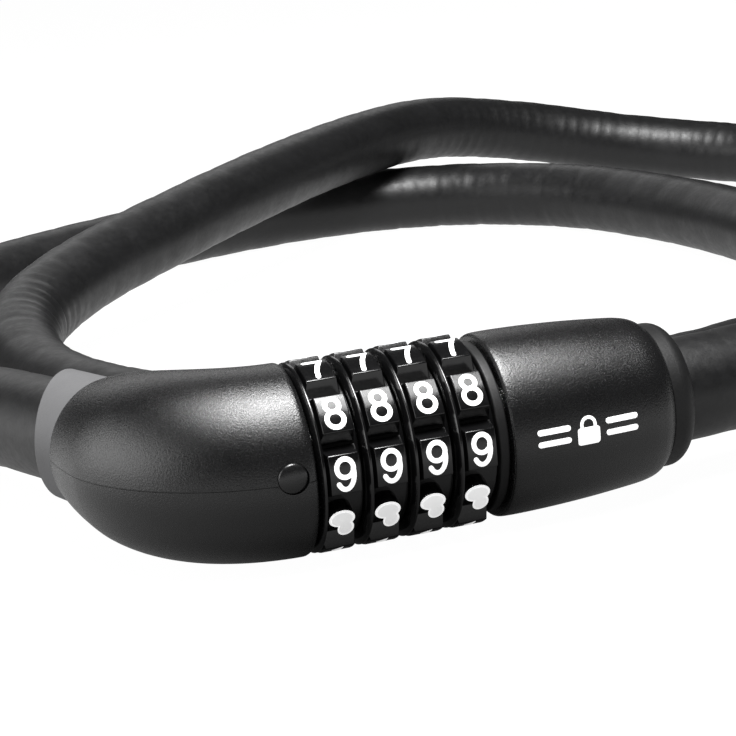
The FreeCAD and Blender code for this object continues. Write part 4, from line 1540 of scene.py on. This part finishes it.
@dataclass
class Studio:
    """The camera, the white table and the soft lights."""

    place: Place
    azimuth: float = math.radians(16.75)
    elevation: float = math.radians(14.75)
    roll: float = math.radians(-5.08)
    distance: float = 0.281
    lens: float = 97.8
    aim_right: float = -1.9 * MM
    aim_up: float = 10.52 * MM
    table_half: float = 6.0
    table_grey: float = 0.06
    table_white: float = 0.985
    dim_reach: float = 14 * MM
    bright_reach: float = 90 * MM
    dim_glow: float = 0.03
    bright_glow: float = 0.85
    room_glow: float = 0.03
    panels: tuple[Panel, ...] = (
        Panel("overhead", spot=(0.02, -0.07, 0.50), size=(0.30, 0.38), watts=4.6),
        Panel("elbow_key", spot=(0.02, -0.05, 0.46), size=(0.12, 0.15), watts=3.4),
        Panel("left_side", spot=(-0.52, 0.06, 0.12), size=(0.60, 0.42), watts=2.8),
        Panel("behind", spot=(0.05, 0.62, 0.24), size=(0.50, 0.18), watts=0.4),
    )

    def build_camera(self) -> None:
        """Add the camera in front of the dials, a little to the left and above."""
        back = Vector((
            -math.sin(self.azimuth) * math.cos(self.elevation),
            -math.cos(self.azimuth) * math.cos(self.elevation),
            math.sin(self.elevation),
        ))
        level = UP.cross(back).normalized()
        upright = back.cross(level)
        right = level * math.cos(self.roll) + upright * math.sin(self.roll)
        over = upright * math.cos(self.roll) - level * math.sin(self.roll)
        data = bpy.data.cameras.new("camera")
        data.lens = self.lens
        data.sensor_width = 36.0
        data.clip_start = 0.01
        camera = bpy.data.objects.new("camera", data)
        turn = Matrix((right, over, back)).transposed().to_4x4()
        spot = self.place.middle + back * self.distance + right * self.aim_right + over * self.aim_up
        camera.matrix_world = Matrix.Translation(spot) @ turn
        bpy.context.scene.collection.objects.link(camera)
        bpy.context.scene.camera = camera

    def build_table(self) -> None:
        """Add the wide white table top, with a painted shade under the lock: a dim patch that only the lock's
        reflections see.
        """
        bm = bmesh.new()
        bmesh.ops.create_grid(bm, x_segments=1, y_segments=1, size=self.table_half)
        table = to_object(bm, "table_top")
        material = bpy.data.materials.new("white_table")
        material.use_nodes = True
        shader = material.node_tree.nodes["Principled BSDF"]
        nodes = Nodes(material.node_tree)
        shader.inputs["Base Color"].default_value = (*[self.table_grey] * 3, 1)
        shader.inputs["Roughness"].default_value = 0.9
        shader.inputs["Specular IOR Level"].default_value = 0.0
        shader.inputs["Emission Color"].default_value = (1, 1, 1, 1)
        where = nodes.add("ShaderNodeTexCoord").outputs["Object"]
        reach = nodes.add("ShaderNodeVectorMath", operation="DISTANCE")
        nodes.link(where, reach.inputs[0])
        reach.inputs[1].default_value = self.place.on_table(0.0, 0.0, 0.0)
        # Painted shade: to all but camera rays the table glows dimly near the lock and brighter away from it.
        rise = nodes.add(
            "ShaderNodeMapRange",
            From_Min=self.dim_reach, From_Max=self.bright_reach,
            To_Min=self.dim_glow, To_Max=self.bright_glow,
        )
        nodes.link(reach.outputs["Value"], rise.inputs["Value"])
        path = nodes.add("ShaderNodeLightPath")
        seen = nodes.between(path.outputs["Is Camera Ray"], rise.outputs["Result"], self.table_white)
        nodes.link(seen, shader.inputs["Emission Strength"])
        table.data.materials.append(material)

    def build_world(self) -> None:
        """Make the room dim for the lock's reflections, and white where the camera sees past the table."""
        world = bpy.data.worlds.new("room")
        bpy.context.scene.world = world
        world.use_nodes = True
        nodes = Nodes(world.node_tree)
        background = world.node_tree.nodes["Background"]
        path = nodes.add("ShaderNodeLightPath")
        seen = nodes.between(path.outputs["Is Camera Ray"], self.room_glow, 1.0)
        nodes.link(seen, background.inputs["Strength"])
        background.inputs["Color"].default_value = (1, 1, 1, 1)

    def build_lights(self) -> None:
        """Add each soft panel, facing the dial pack's middle."""
        for panel in self.panels:
            data = bpy.data.lights.new(panel.name, "AREA")
            data.shape = "RECTANGLE"
            data.size, data.size_y = panel.size
            data.energy = panel.watts
            lamp = bpy.data.objects.new(panel.name, data)
            lamp.rotation_mode = "QUATERNION"
            spot = Vector(panel.spot)
            lamp.location = self.place.middle + spot
            lamp.rotation_quaternion = spot.to_track_quat("Z", "Y")
            lamp.visible_camera = False
            bpy.context.scene.collection.objects.link(lamp)

    def build(self) -> None:
        """Add everything round the lock but the camera."""
        self.build_table()
        self.build_world()
        self.build_lights()
        bpy.context.scene.view_settings.view_transform = "Standard"


def main() -> None:
    """Build the lock in order: camera, cable, elbow, dials, plug, inner parts, studio."""
    logging.basicConfig(level=logging.INFO, format="%(message)s")
    place = Place.from_frame()
    studio = Studio(place)
    studio.build_camera()
    finishes = Finishes(Effects())
    dresser = Dresser()
    elbow = Elbow(place)
    Cable(place, elbow).build(dresser, finishes)
    elbow.build(dresser, finishes)
    DialPack(place).build(dresser, finishes)
    Plug(place).build(dresser, finishes)
    finishes.dress_inner_parts()
    studio.build()
    LOG.info("%d pieces built", dresser.count)


if __name__ == "__main__":
    main()
